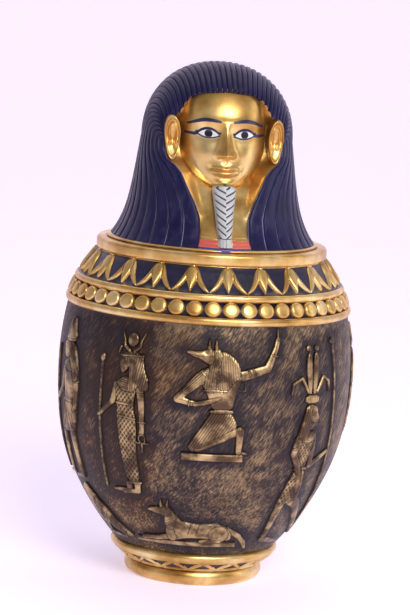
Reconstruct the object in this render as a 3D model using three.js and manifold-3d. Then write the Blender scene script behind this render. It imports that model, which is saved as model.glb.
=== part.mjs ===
// Canopic jar: a painted cast-resin copy of an Egyptian burial jar, with a lid in the shape of a head.
// Millimetres, +Z up. The origin is the centre of the jar's flat underside, and the face looks towards -Y.
import * as THREE from 'three';
import { mergeVertices } from 'three/addons/utils/BufferGeometryUtils.js';
import Module from 'manifold-3d';

const wasm = await Module();
wasm.setup();

// Driving dimensions of the jar
const HEIGHT = 300;
const UNDERSIDE_RADIUS = 38;
const FOOT_RADIUS = 40.4;
const FOOT_HEIGHT = 9.5;
const FOOT_BAND_TOP = 15.5;
const WALL_FOOT = { z: 20, r: 47 };
const WALL_BELLY = { z: 122, r: 85.2 };
const WALL_SHOULDER = { z: 160, r: 81 };
const FOOT_SWELL = 2.38;
const LOW_RING = { z: 160.6, r: 83, half: 2.4 };
const MID_RING = { z: 173.6, r: 78.2, half: 2.3 };
const RING_DEPTH = 0.7;
const BEAD_COUNT = 49;
const BEAD_HEIGHT = 2.6;
const BEAD_EDGES = { foot: 1.2, crown: 2.4 };
const FLOWER_COUNT = 22;
const FLOWER_HEIGHT = 1.8;
const FLOWER_EDGES = { foot: 1.2, waist: 8.6, top: 0.8 };
const FLOWER_HALVES = { foot: 0.46, waist: 0.2, top: 0.1, side: 0.03 };
const FLOWER_TURN = 11.6;
const RIM = { z0: 190, z1: 196.5, r: 66.9 };
const MOUTH_RADIUS = 55.5;
const JAR_SIDES = 28;
const HOLLOW_SIDES = 16;
const RELIEF = 2.2;
const LAYER_STEP = 0.3;
const PLATE_INSET = 0.16;
const BURIED = 1.2;

// Driving dimensions of the lid
const FLANGE = { r: 61.5, z0: 196.8, z1: 198.6 };
const SPIGOT = { outer: 54.2, inner: 49, z0: 188.5 };
const LID_HOLLOW_SIDES = 12;
const EAR_LEVEL = 256;
const WIG_BASE = 198.4;
const WIG_HALF_WIDTH = 43.8;
const WIG_DEPTH = 1.05;
const WIG_SETBACK = 7;
const WIG_FLARE = { even: 8, base: 7.1, power: 5, narrowing: 0.05 };
const LAPPET = { base: 15, rise: 75, power: 1.6 };
const CROWN_POWER = 2.15;
const SECTION_POWER = 2.15;
const STRANDS = 9;
const STRAND_GROOVE = 0.9;
const HEAD_AXIS_Y = -12;
const CHIN_Z = 230.5;
const HAIRLINE_Z = 284.4;
const EAR = { tall: 13.7, wide: 6, inner: [24.9, -27], outer: [34.6, -22.5], z: 257 };

// The jar's ornament stands turned a little from where the face looks
const JAR_TURN = 5.5;

// Wall of the jar: its radius at height z, and the way out from it
function wallRadius(z) {
  if (z < WALL_BELLY.z) {
    const t = (WALL_BELLY.z - z) / (WALL_BELLY.z - WALL_FOOT.z);
    return WALL_BELLY.r - (WALL_BELLY.r - WALL_FOOT.r) * t ** FOOT_SWELL;
  }
  const t = (z - WALL_BELLY.z) / (WALL_SHOULDER.z - WALL_BELLY.z);
  return WALL_BELLY.r - (WALL_BELLY.r - WALL_SHOULDER.r) * t ** 2;
}

function wallPoint(azimuth, z, out) {
  const slope = wallRadius(z + 0.5) - wallRadius(z - 0.5);
  const length = Math.hypot(1, slope);
  const r = wallRadius(z) + out / length;
  return [r * Math.sin(azimuth), -r * Math.cos(azimuth), z - out * slope / length];
}

// Solids from plain triangles
function solid(geometry) {
  const bare = geometry.index ? geometry.toNonIndexed() : geometry.clone();
  for (const name of Object.keys(bare.attributes)) {
    if (name !== 'position') bare.deleteAttribute(name);
  }
  const merged = mergeVertices(bare, 1e-4);
  const vertProperties = new Float32Array(merged.attributes.position.array);
  const index = merged.index.array;
  const kept = [];
  let volume = 0;
  const at = (i) => new THREE.Vector3().fromArray(vertProperties, 3 * i);
  for (let i = 0; i < index.length; i += 3) {
    const [a, b, c] = [index[i], index[i + 1], index[i + 2]];
    if (a === b || b === c || c === a) continue;
    kept.push([a, b, c]);
    volume += at(a).dot(at(b).cross(at(c)));
  }
  if (volume < 0) kept.forEach((triangle) => triangle.reverse());
  const triVerts = new Uint32Array(kept.flat());
  return new wasm.Manifold(new wasm.Mesh({ numProp: 3, vertProperties, triVerts }));
}

function fromTriangles(points) {
  const geometry = new THREE.BufferGeometry();
  geometry.setAttribute('position', new THREE.Float32BufferAttribute(points.flat(2), 3));
  return solid(geometry);
}

function toGeometry(manifold) {
  const mesh = manifold.getMesh();
  const geometry = new THREE.BufferGeometry();
  geometry.setAttribute('position', new THREE.BufferAttribute(mesh.vertProperties, 3));
  geometry.setIndex(new THREE.BufferAttribute(mesh.triVerts, 1));
  geometry.computeVertexNormals();
  return geometry;
}

function join(solids) {
  return solids.reduce((all, next) => all.add(next));
}

function turned(profile, sides, start = 0) {
  const points = profile.map(([r, z]) => new THREE.Vector2(r, z));
  const lathe = new THREE.LatheGeometry(points, sides, start);
  return solid(lathe.rotateX(Math.PI / 2));
}

// A closed skin through rings of equally many points, with a fan at each end
function skin(rings) {
  const triangles = [];
  const middle = (ring) => [0, 1, 2].map((k) => ring.reduce((sum, p) => sum + p[k], 0) / ring.length);
  for (let i = 0; i + 1 < rings.length; i++) {
    for (let j = 0; j < rings[i].length; j++) {
      const k = (j + 1) % rings[i].length;
      triangles.push([rings[i][j], rings[i][k], rings[i + 1][k]]);
      triangles.push([rings[i][j], rings[i + 1][k], rings[i + 1][j]]);
    }
  }
  const first = rings[0];
  const last = rings[rings.length - 1];
  first.forEach((p, j) => triangles.push([middle(first), first[(j + 1) % first.length], p]));
  last.forEach((p, j) => triangles.push([middle(last), p, last[(j + 1) % last.length]]));
  return fromTriangles(triangles);
}

// A raised plate: an outline in local (x, y), placed by a function of (x, y, out)
function plate(outline, place, height) {
  const flat = outline.map(([x, y]) => new THREE.Vector2(x, y));
  if (THREE.ShapeUtils.area(flat) < 0) flat.reverse();
  const faces = THREE.ShapeUtils.triangulateShape(flat, []);
  const centre = flat.reduce((sum, p) => sum.clone().add(p), new THREE.Vector2()).divideScalar(flat.length);
  const low = flat.map((p) => place(p.x, p.y, -BURIED));
  const high = flat.map((p) => p.clone().lerp(centre, PLATE_INSET)).map((p) => place(p.x, p.y, height));
  const triangles = [];
  flat.forEach((_, i) => {
    const j = (i + 1) % flat.length;
    triangles.push([low[i], low[j], high[j]], [low[i], high[j], high[i]]);
  });
  faces.forEach(([a, b, c]) => triangles.push([high[a], high[b], high[c]], [low[a], low[c], low[b]]));
  return fromTriangles(triangles);
}

// Outlines of the relief's parts, in millimetres along and up the wall
function disc([x, y], rx, ry = rx, sides = 8) {
  return Array.from({ length: sides }, (_, i) => {
    const a = (i + 0.5) / sides * 2 * Math.PI;
    return [x + rx * Math.cos(a), y + ry * Math.sin(a)];
  });
}

// A band of changing width through joints, such as an arm, a staff or a horn
function ribbon(joints, widths) {
  const way = (a, b) => new THREE.Vector2(b[0] - a[0], b[1] - a[1]).normalize();
  const last = joints.length - 1;
  const edges = joints.map((joint, i) => {
    const before = way(joints[Math.max(i - 1, 0)], joints[Math.max(i, 1)]);
    const after = way(joints[Math.min(i, last - 1)], joints[Math.min(i + 1, last)]);
    const along = before.clone().add(after).normalize();
    const reach = (widths[i] ?? widths[0]) / 2 / Math.max(0.5, along.dot(after));
    const side = (s) => [joint[0] - s * along.y * reach, joint[1] + s * along.x * reach];
    return [side(1), side(-1)];
  });
  return [...edges.map((edge) => edge[0]), ...edges.map((edge) => edge[1]).reverse()];
}

// Jackal-headed god on one knee, one arm raised
function kneelingGod() {
  const plinth = [[-17, 83], [0, 83], [17, 83], [17, 87], [0, 87], [-17, 87]];
  const body = [
    [-11.5, 132.5], [-4, 120], [-2.3, 112], [-8, 101], [-14.5, 91], [-6.5, 86.4], [12.4, 98], [13, 86], [17, 86], [17, 101],
    [9, 112], [13, 133.5],
  ];
  const foldedArm = ribbon([[-9, 130.5], [-21, 117.5], [2, 118]], [6, 4.6, 2.4]);
  const raisedArm = ribbon([[10, 130.5], [28.5, 135.6], [33.8, 157]], [6.5, 5, 1.8]);
  const hair = [[-5.6, 134], [-5, 122], [6, 122], [10, 128.5], [12, 138], [1.6, 146], [-1, 153], [-2.2, 146.4]];
  const snout = [[-4.9, 152.8], [-6.4, 145.4], [-17.6, 144.8], [-17.6, 143.2]];
  return [plinth, body, foldedArm, raisedArm, [...hair, ...snout]];
}

// Goddess with a sun disc between horns, a net dress and a staff
function goddess() {
  const horns = ribbon([[-8.5, 151.5], [-4, 141], [5.4, 141], [10.8, 151]], [1.4, 2.4, 2.4, 1.4]);
  const hair = [[-6.4, 128.4], [-7, 133], [-5.3, 139], [8.3, 139.4], [12.4, 125], [12, 119], [0.4, 118], [-1, 127]];
  const dress = [
    [-8, 123], [-6.6, 105], [-4.4, 82], [-1.4, 66.5], [-10.8, 61], [-10.8, 58], [6, 58.6], [5, 82], [5.8, 101], [3.4, 111],
    [6, 122],
  ];
  const nearArm = ribbon([[7.4, 120], [9, 106], [9.2, 94]], [5, 4, 3.2]);
  const farArm = ribbon([[-7.4, 121], [-9.8, 111.5], [-19.8, 102]], [4.6, 4, 2.6]);
  const staff = ribbon([[-18.7, 133.4], [-19.3, 100], [-18, 60.4]], [2, 2, 2]);
  return [dress, nearArm, farArm, staff, hair, horns, disc([0.6, 147], 4.2, 5, 6)];
}

// Standing king: tall crown, pleated kilt, one arm forward with a staff
function king() {
  const hair = [[-8.2, 129], [-8.4, 138], [-3.8, 152], [-1, 152], [2.4, 138], [9.2, 116], [4, 116], [-1.4, 127]];
  const body = [
    [-8, 126], [-4.6, 105], [-13.6, 85.4], [-14.4, 61.4], [-21, 60.6], [-21, 58.6], [-10.8, 59], [-6.6, 86], [-2, 86],
    [0, 61.4], [-6.6, 60.6], [-6.6, 58.6], [3.8, 59], [5.4, 86.4], [4.2, 105], [7, 126],
  ];
  const nearArm = ribbon([[6.2, 123], [7, 110], [5, 94]], [5, 4, 2.8]);
  const farArm = ribbon([[-7, 122], [-11, 110], [-20.6, 103]], [4.6, 3.8, 2.6]);
  const staff = ribbon([[-20.6, 134], [-21.4, 100], [-23, 62]], [2, 2, 2]);
  return [body, nearArm, farArm, staff, hair];
}

// Striding god: plumed crown on long horns, net kilt, a long staff
function strider() {
  const horns = ribbon([[-15.8, 120.6], [-12, 129], [-4, 121.6], [4, 121.6], [11, 129], [14.4, 120.6]],
    [1.8, 2, 2.2, 2.2, 2, 1.8]);
  const crown = [[-6.4, 144], [4.4, 144], [2.6, 119], [5.3, 116], [-5.8, 116], [-3, 119]];
  const hair = [[-4.4, 113], [4.4, 113], [6.4, 106.6], [1, 103], [0, 95], [-8.6, 95], [-6, 106]];
  const body = [
    [-8.4, 97], [-4.8, 76], [-9.4, 53.4], [-6.2, 33], [-4, 28], [11, 28], [11, 30], [-1.6, 34], [-2, 54], [3, 52], [10, 46.6],
    [22, 30.6], [32, 29.4], [32, 31.4], [26, 34], [14.4, 53], [3.6, 61], [2.8, 76], [6.6, 97.5],
  ];
  const nearArm = ribbon([[-6.8, 95], [-8, 85], [2.2, 63]], [5, 4.6, 2.8]);
  const farArm = ribbon([[5, 94], [7, 78], [21.6, 84.4]], [4.6, 4, 2.6]);
  const staff = ribbon([[15, 149.4], [18.4, 149], [23.4, 86], [27, 36]], [2.4, 2.4, 2, 2]);
  return [body, nearArm, farArm, staff, hair, horns, crown];
}

// Jackal lying on a shrine
function jackal() {
  const slab = [[-31, 21], [-12, 21], [8, 21], [27, 21], [27, 29.6], [8, 29.6], [-12, 29.6], [-31, 29.6]];
  const body = [
    [-26, 33.4], [-13.4, 35.4], [-14.4, 47.4], [-24, 49.6], [-17.4, 52.6], [-16.4, 59], [-14, 53], [-12.2, 59], [-10.6, 51.6],
    [-4, 43.8], [19, 43.4], [30.6, 36], [33.6, 27.4], [27, 32], [24, 28.6], [0, 28.6], [-26, 28.6],
  ];
  return [slab, body];
}

// Perched falcon with folded wings
function falcon() {
  const body = [[-13, 50.8], [-10, 54.6], [-5, 57], [6, 46], [12, 37], [20, 28.4], [3, 32], [-6, 40], [-9, 48.6]];
  const legs = ribbon([[0, 36], [-2, 27.4], [12, 27.4]], [3, 3, 2.6]);
  return [body, legs];
}

// Where each figure stands round the wall, in degrees from the front, and whether it is turned round
const RELIEF_FIGURES = [
  [kneelingGod, -8, 1],
  [goddess, -42, 1],
  [king, -75, 1],
  [strider, 33, 1],
  [king, 82, -1],
  [jackal, -16, 1],
  [falcon, -71, 1],
  [kneelingGod, 172, -1],
  [king, 127, -1],
  [falcon, -132, -1],
  [jackal, 166, -1],
];

function figureSolids([draw, degrees, side]) {
  const azimuth = THREE.MathUtils.degToRad(degrees);
  const place = (x, z, out) => wallPoint(azimuth + side * x / wallRadius(z), z, out);
  const layer = (i) => RELIEF - LAYER_STEP * ((i * 3) % 4);
  return draw().map((outline, i) => plate(outline, place, layer(i)));
}

// Bands of the jar
function bandPoint(low, high) {
  return (azimuth, along, out) => {
    const t = (along - low.z) / (high.z - low.z);
    const length = Math.hypot(high.z - low.z, high.r - low.r);
    const r = THREE.MathUtils.lerp(low.r, high.r, t) + out * (high.z - low.z) / length;
    const z = along - out * (high.r - low.r) / length;
    return [r * Math.sin(azimuth), -r * Math.cos(azimuth), z];
  };
}

const BEAD_BAND = [{ z: 163, r: 80.4 }, { z: 171.5, r: 77 }];
const FLOWER_BAND = [{ z: 176, r: 75.4 }, { z: 190, r: 65.4 }];
const FOOT_BAND = [{ z: FOOT_HEIGHT, r: 39.2 }, { z: FOOT_BAND_TOP, r: 46.8 }];
const BAND_OVERLAP = 0.2;
const BAND_SINK = 2.6;
const GROUND = -0.6;

// A band as a ring whose skin swells once for each ornament: rows run up the band, columns along one ornament
function ornamentBand(band, count, turn, rows) {
  const point = bandPoint(...band);
  const pitch = 2 * Math.PI / count;
  return skin(rows.map(({ z, out, columns }) => {
    const ring = [];
    for (let i = 0; i < count; i++) {
      for (const [along, raised] of columns) ring.push(point(turn + (i + along) * pitch, z, raised ? out : GROUND));
    }
    return ring;
  }));
}

function beadBand() {
  const [low, high] = BEAD_BAND.map((edge) => edge.z);
  const columns = [[0, false], [0.5, true]];
  return ornamentBand(BEAD_BAND, BEAD_COUNT, 0, [
    { z: low - BAND_OVERLAP, out: GROUND, columns },
    { z: low + BEAD_EDGES.foot, out: BEAD_HEIGHT, columns },
    { z: high - BEAD_EDGES.crown, out: BEAD_HEIGHT, columns },
    { z: high + BAND_OVERLAP, out: GROUND, columns },
  ]);
}

// Hanging flowers: wide at the lower edge of the band and narrow below the rim
function flowerBand() {
  const [low, high] = FLOWER_BAND.map((edge) => edge.z);
  const { foot, waist, top, side } = FLOWER_HALVES;
  const columns = (half) => [[-half - side, false], [-half, true], [half, true], [half + side, false]];
  return ornamentBand(FLOWER_BAND, FLOWER_COUNT, THREE.MathUtils.degToRad(FLOWER_TURN), [
    { z: low - BAND_OVERLAP, out: GROUND, columns: columns(foot) },
    { z: low + FLOWER_EDGES.foot, out: FLOWER_HEIGHT, columns: columns(foot) },
    { z: low + FLOWER_EDGES.waist, out: FLOWER_HEIGHT, columns: columns(waist) },
    { z: high + FLOWER_EDGES.top, out: GROUND / 2, columns: columns(top) },
  ]);
}

// Half-round moulding round the jar, as profile points from below to above
function ring({ r, z, half }) {
  return [
    [r - RING_DEPTH, z - half],
    [r, z],
    [r - RING_DEPTH, z + half],
  ];
}

function jarOutside() {
  const wallHeights = [20.6, 32, 47, 68, 92, 122, 158.2];
  const behindBand = ([low, high], z0, z1) => [[low.r - BAND_SINK, z0], [high.r - BAND_SINK, z1]];
  const lowRing = ring(LOW_RING);
  const midRing = ring(MID_RING);
  return turned([
    [0, 0],
    [UNDERSIDE_RADIUS, 0],
    [FOOT_RADIUS, 3],
    [FOOT_RADIUS, 6.6],
    ...FOOT_BAND.map(({ r, z }) => [r, z]),
    [49, 17.6],
    ...wallHeights.map((z) => [wallRadius(z), z]),
    ...lowRing,
    ...behindBand(BEAD_BAND, lowRing[2][1], midRing[0][1]),
    ...midRing,
    ...behindBand(FLOWER_BAND, midRing[2][1], RIM.z0),
    [RIM.r - 0.6, RIM.z0],
    [RIM.r, RIM.z0 + 3.4],
    [RIM.r - 2.2, RIM.z1],
    [0, RIM.z1],
  ], JAR_SIDES);
}

function jarHollow() {
  return turned([
    [0, 10],
    [26, 10.5],
    [39, 19],
    [56, 38],
    [69.5, 62],
    [76.6, 90],
    [79.2, 122],
    [77, 150],
    [70, 170],
    [58, 184],
    [MOUTH_RADIUS, 187.5],
    [MOUTH_RADIUS, HEIGHT],
    [0, HEIGHT],
  ], HOLLOW_SIDES);
}

function jar() {
  const relief = RELIEF_FIGURES.flatMap(figureSolids);
  return join([jarOutside(), beadBand(), flowerBand(), ...relief]).subtract(jarHollow());
}

// Outer form of the wig: its section at height z is a rounded oval
function wigSection(z) {
  if (z >= EAR_LEVEL) {
    const t = Math.min(1, (z - EAR_LEVEL) / (HEIGHT - EAR_LEVEL));
    const half = WIG_HALF_WIDTH * (1 - t ** CROWN_POWER) ** (1 / CROWN_POWER);
    return { half, depth: half * WIG_DEPTH, y: WIG_SETBACK };
  }
  const t = (EAR_LEVEL - z) / (EAR_LEVEL - WIG_BASE);
  const half = WIG_HALF_WIDTH + WIG_FLARE.even * t + WIG_FLARE.base * t ** WIG_FLARE.power;
  return { half, depth: half * (WIG_DEPTH - WIG_FLARE.narrowing * t), y: WIG_SETBACK * (1 - t ** 2) };
}

function outsideWig([x, y, z]) {
  const s = wigSection(z);
  if (s.half < 1e-6) return true;
  return Math.abs(x / s.half) ** SECTION_POWER + Math.abs((y - s.y) / s.depth) ** SECTION_POWER > 1;
}

function wigSurface(from, way, inset) {
  let [near, far] = [0, 120];
  for (let i = 0; i < 30; i++) {
    const middle = (near + far) / 2;
    if (outsideWig(from.map((v, k) => v + way[k] * middle))) far = middle;
    else near = middle;
  }
  return from.map((v, k) => v + way[k] * (near - inset));
}

// Inner edge of the hair beside the neck and jaw, in degrees from the front
function lappetEdge(z) {
  const t = THREE.MathUtils.clamp((z - WIG_BASE) / (EAR_LEVEL - WIG_BASE), 0, 1);
  return LAPPET.base + LAPPET.rise * t ** LAPPET.power;
}

// One strand line of the wig: c runs from the ear (0) to the middle of the head (1), and the path from the base of
// the back, up to the ear's level, over the crown to the front, and down again to the base
function wigPoint(c, side, path, inset) {
  const { rise, over, fall } = path;
  if (over !== undefined) {
    const tilt = c * Math.PI / 2;
    const turn = over * Math.PI;
    const way = [side * Math.cos(tilt), Math.sin(tilt) * Math.cos(turn), Math.sin(tilt) * Math.sin(turn)];
    return wigSurface([0, WIG_SETBACK, EAR_LEVEL], way, c === 0 ? 0 : inset);
  }
  const z = THREE.MathUtils.lerp(WIG_BASE, EAR_LEVEL, rise ?? 1 - fall);
  const edge = lappetEdge(z);
  const degrees = rise !== undefined ? edge + c * (180 - edge) : edge * (1 - c);
  const a = THREE.MathUtils.degToRad(degrees);
  return wigSurface([0, wigSection(z).y, z], [side * Math.sin(a), -Math.cos(a), 0], c === 0 ? 0 : inset);
}

function wig() {
  const steps = (n, from, to, key) => Array.from({ length: n + 1 }, (_, i) => ({ [key]: from + (to - from) * i / n }));
  const paths = [
    ...steps(4, 0, 1, 'rise'),
    ...steps(8, 0, 1, 'over').slice(1),
    ...steps(4, 0, 1, 'fall').slice(1),
  ];
  const columns = 2 * STRANDS;
  const rows = paths.map((path) => {
    const row = [];
    for (let i = 0; i <= 2 * columns; i++) {
      const c = i <= columns ? i / columns : (2 * columns - i) / columns;
      const groove = path.fall === undefined && i % 2 ? STRAND_GROOVE : 0;
      row.push(wigPoint(c, i <= columns ? 1 : -1, path, groove));
    }
    return row;
  });
  const triangles = [];
  for (let i = 0; i + 1 < rows.length; i++) {
    for (let j = 0; j < 2 * columns; j++) {
      triangles.push([rows[i][j], rows[i][j + 1], rows[i + 1][j + 1]]);
      triangles.push([rows[i][j], rows[i + 1][j + 1], rows[i + 1][j]]);
    }
  }
  const centre = [0, 0, WIG_BASE];
  const [back, front] = [rows[0], rows[rows.length - 1]];
  for (let j = 0; j < 2 * columns; j++) {
    triangles.push([centre, back[j + 1], back[j]], [centre, front[j], front[j + 1]]);
  }
  return fromTriangles(triangles);
}

// The opening in the wig for face and neck, seen from the front
function faceOpening() {
  const half = [
    [14, WIG_BASE - 1], [13.5, 207], [13.7, 215], [16, 221], [20, 229], [24.4, 238], [28.5, 244.5], [33, 250],
    [33, 265], [27, 271], [23.7, 277], [20.6, 280.5], [14, HAIRLINE_Z - 1], [0, HAIRLINE_Z],
  ];
  const outline = [...half, ...half.slice(0, -1).reverse().map(([x, z]) => [-x, z])];
  const shape = new THREE.Shape(outline.map(([x, z]) => new THREE.Vector2(x, z)));
  const block = new THREE.ExtrudeGeometry(shape, { depth: 70, bevelEnabled: false });
  return solid(block.rotateX(Math.PI / 2).translate(0, HEAD_AXIS_Y, 0));
}

// Neck with the breast under it, and head: height, half width, and how far the front stands before the head's axis
const NECK_SECTIONS = [
  [WIG_BASE, 36, 43],
  [207, 36, 36.5],
  [215, 35, 31],
  [222, 32, 26],
  [229, 30, 20.5],
  [238, 28, 14],
  [250, 27, 8],
];
const HEAD_SECTIONS = [
  [CHIN_Z - 1.5, 12, 20],
  [CHIN_Z, 15.5, 25],
  [234, 17.5, 27.4],
  [238, 20.4, 26.6],
  [242, 22.4, 26.2],
  [246, 23.6, 26.2],
  [250, 24.4, 26],
  [255, 25, 25],
  [260, 25.2, 24.4],
  [266, 25.2, 24.4],
  [279, 24, 20],
  [286, 22, 15.5],
];

// Nose, eye hollows, brow, lips and chin as soft swellings on the head
const NOSE = { tip: 249, root: 266, out: 8.6, half: 4.6 };
const FACE_FORMS = [
  { x: 10.4, z: 260.4, sx: 5.4, sz: 3, out: -1.8 },
  { x: 9, z: 266.4, sx: 8, sz: 2.2, out: 0.8 },
  { x: 0, z: 241.6, sx: 7, sz: 1.9, out: 2.2 },
  { x: 0, z: 237.6, sx: 5.4, sz: 1.6, out: 0.6 },
  { x: 0, z: 233, sx: 5, sz: 2.6, out: 1.2 },
  { x: 13.5, z: 250, sx: 6, sz: 5, out: 0.8 },
];

function faceForm(x, z) {
  const bump = (v, spread) => Math.exp(-((v / spread) ** 2));
  let out = 0;
  for (const form of FACE_FORMS) out += form.out * bump(Math.abs(x) - form.x, form.sx) * bump(z - form.z, form.sz);
  const t = (NOSE.root - z) / (NOSE.root - NOSE.tip);
  if (t > 0) {
    const fall = t < 1 ? t : Math.exp(-(((t - 1) / 0.14) ** 2));
    out += NOSE.out * fall * bump(x, NOSE.half * (0.5 + 0.5 * Math.min(t, 1)));
  }
  return out;
}

// Rounded front and square back through sections, with a form laid over the front
function rounded(sections, sides, form) {
  return skin(sections.map(([z, half, front]) => {
    const row = [];
    for (let j = 0; j <= sides; j++) {
      const a = THREE.MathUtils.lerp(-0.5, 0.5, j / sides) * Math.PI;
      const x = half * Math.sin(a);
      row.push([x, HEAD_AXIS_Y - (front + form(x, z)) * Math.cos(a), z]);
    }
    row.push([half, HEAD_AXIS_Y + 6, z], [-half, HEAD_AXIS_Y + 6, z]);
    return row;
  }));
}

function head() {
  return rounded(HEAD_SECTIONS, 12, faceForm).add(rounded(NECK_SECTIONS, 8, () => 0));
}

// Ear: an oval shell with a sunk middle, standing out beside the face
function ear(side) {
  const oval = (grow, out) => disc([0, 0], EAR.wide * grow, EAR.tall * grow, 8).map(([u, v]) => {
    const along = (u / EAR.wide + 1) / 2;
    const x = THREE.MathUtils.lerp(EAR.inner[0], EAR.outer[0], along);
    const y = THREE.MathUtils.lerp(EAR.inner[1], EAR.outer[1], along);
    return [side * x, y - out, EAR.z + v + 0.25 * u];
  });
  return skin([oval(0.9, -10), oval(1, 0.6), oval(0.88, 2.6), oval(0.62, 1.2)]);
}

// Plaited beard: rows that step in below one another, and a flared end
function beard() {
  const rows = 7;
  const rings = [];
  const section = (t, half, lift) => {
    const y = THREE.MathUtils.lerp(-41.5, -55.5, t ** 1.2);
    const z = THREE.MathUtils.lerp(232, 199.6, t);
    return [[-half, y + 4], [-half, y - 0.6], [-half * 0.55, y - 2.6], [half * 0.55, y - 2.6], [half, y - 0.6], [half, y + 4]]
      .map(([x, v]) => [x, v - lift, z]);
  };
  for (let i = 0; i < rows; i++) {
    const t = i / rows * 0.86;
    const half = THREE.MathUtils.lerp(7, 3.9, (i / rows) ** 0.8);
    rings.push(section(t + 0.004, half, 0.5), section(t + 0.1, half * 0.95, -0.2));
  }
  rings.push(section(0.88, 3.7, 0), section(1, 4.6, 0.6));
  return skin(rings.reverse());
}

// Hollow of the head, behind the face: height, middle, half width and half depth, from the open spigot to the top
function lidHollow() {
  const sections = [
    [180, 0, SPIGOT.inner, SPIGOT.inner],
    [199, 0, SPIGOT.inner, SPIGOT.inner],
    [212, 17, 42, 32],
    [232, 19.5, 40, 28.5],
    [256, 19, 37.5, 28],
    [274, 17, 32, 25],
    [289, 12, 14, 12],
  ];
  const rings = sections.map(([z, y, half, deep]) => {
    return disc([0, 0], half, deep, LID_HOLLOW_SIDES).map(([u, v]) => [u, y + v, z]);
  });
  return skin(rings);
}

function flange() {
  const inner = SPIGOT.inner - 1;
  return turned([
    [inner, SPIGOT.z0],
    [SPIGOT.outer, SPIGOT.z0],
    [SPIGOT.outer, FLANGE.z0],
    [FLANGE.r, FLANGE.z0],
    [FLANGE.r, FLANGE.z1],
    [inner, FLANGE.z1],
    [inner, SPIGOT.z0],
  ], JAR_SIDES);
}

function lid() {
  const hair = wig().subtract(faceOpening());
  const filled = join([hair, head(), ear(1), ear(-1), beard(), flange()]);
  return filled.subtract(lidHollow());
}

const bronzePaint = new THREE.MeshStandardMaterial({ color: 0x5a4c40, roughness: 0.5, metalness: 0.6 });
const bluePaint = new THREE.MeshStandardMaterial({ color: 0x24244a, roughness: 0.4, metalness: 0.1 });

function named(name, manifold, material) {
  const mesh = new THREE.Mesh(toGeometry(manifold), material);
  mesh.name = name;
  return mesh;
}

const canopicJar = new THREE.Group();
const jarMesh = named('jar', jar(), bronzePaint);
jarMesh.rotation.z = THREE.MathUtils.degToRad(JAR_TURN);
canopicJar.add(jarMesh);
canopicJar.add(named('lid', lid(), bluePaint));

export default canopicJar;
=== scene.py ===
"""Canopic jar: looks for the painted cast-resin copy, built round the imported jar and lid.

Shapes are in millimetres in the part's own frame, +Z up with the face towards -Y, until add_piece.
Azimuths run round the jar from the front, positive towards +X. Floor, lights and camera are in metres.
"""
import math

import bpy
import numpy as np
from mathutils import Matrix, Vector

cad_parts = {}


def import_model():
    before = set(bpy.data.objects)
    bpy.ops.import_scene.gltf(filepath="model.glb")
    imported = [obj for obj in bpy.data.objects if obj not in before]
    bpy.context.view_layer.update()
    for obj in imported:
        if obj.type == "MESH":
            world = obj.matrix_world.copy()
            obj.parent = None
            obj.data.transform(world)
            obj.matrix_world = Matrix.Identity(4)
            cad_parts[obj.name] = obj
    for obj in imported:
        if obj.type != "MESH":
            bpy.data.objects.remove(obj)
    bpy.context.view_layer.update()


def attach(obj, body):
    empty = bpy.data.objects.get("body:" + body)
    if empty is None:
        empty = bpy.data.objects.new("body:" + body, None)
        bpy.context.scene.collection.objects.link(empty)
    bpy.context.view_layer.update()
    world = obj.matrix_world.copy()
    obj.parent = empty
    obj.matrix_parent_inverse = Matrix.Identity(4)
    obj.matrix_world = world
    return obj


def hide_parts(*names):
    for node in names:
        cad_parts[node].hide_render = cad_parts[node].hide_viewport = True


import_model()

MM = 0.001
# The most that a relief figure stands out from the wall
RELIEF = 2.1
# The jar's ornament stands a little askew below the face, and the camera a little to the side
JAR_TURN = math.radians(5.5)
VIEW_TURN = math.radians(-7.5)


# Meshes

def turned(points, angle):
    """Points turned about the upright axis."""
    x, y, z = points[..., 0], points[..., 1], points[..., 2]
    c, s = math.cos(angle), math.sin(angle)
    return np.stack([c * x - s * y, s * x + c * y, z], -1)


def add_object(name, data):
    thing = bpy.data.objects.new(name, data)
    bpy.context.scene.collection.objects.link(thing)
    return thing


def add_piece(name, points, faces, materials, node, kinds=None, fields=None):
    """A named piece from points in millimetres and groups of quads or triangles; the jar's stand turned.

    kinds gives each face's material, and fields give values at the points for the paint to read.
    """
    mesh = bpy.data.meshes.new(name)
    points = turned(np.asarray(points, float), JAR_TURN if node == "jar" else 0)
    sizes = np.concatenate([np.full(len(group), group.shape[1]) for group in faces])
    corners = np.concatenate([group.ravel() for group in faces]).astype(np.int32)
    mesh.vertices.add(len(points))
    mesh.vertices.foreach_set("co", (points * MM).astype(np.float32).ravel())
    mesh.loops.add(len(corners))
    mesh.loops.foreach_set("vertex_index", corners)
    mesh.polygons.add(len(sizes))
    mesh.polygons.foreach_set("loop_start", (np.cumsum(sizes) - sizes).astype(np.int32))
    for material in materials:
        mesh.materials.append(material)
    if kinds is not None:
        mesh.polygons.foreach_set("material_index", kinds.astype(np.int32))
    mesh.update(calc_edges=True)
    mesh.validate()
    mesh.shade_smooth()
    for key, values in (fields or {}).items():
        layer = mesh.attributes.new(key, "FLOAT", "POINT")
        layer.data.foreach_set("value", values.astype(np.float32).ravel())
    piece = add_object(name, mesh)
    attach(piece, "root")
    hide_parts(node)


def grid_faces(rows, columns, wrap=False, offset=0):
    """Quads of a grid whose points are numbered row by row."""
    i, j = np.meshgrid(np.arange(rows - 1), np.arange(columns if wrap else columns - 1), indexing="ij")
    k = (j + 1) % columns
    quads = np.stack([i * columns + j, i * columns + k, (i + 1) * columns + k, (i + 1) * columns + j], -1)
    return quads.reshape(-1, 4) + offset


def fan(tip, first, columns):
    """Triangles from a tip to a ring whose points are numbered from first."""
    j = np.arange(columns)
    return np.stack([np.full(columns, tip), first + j, first + (j + 1) % columns], 1)


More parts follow.
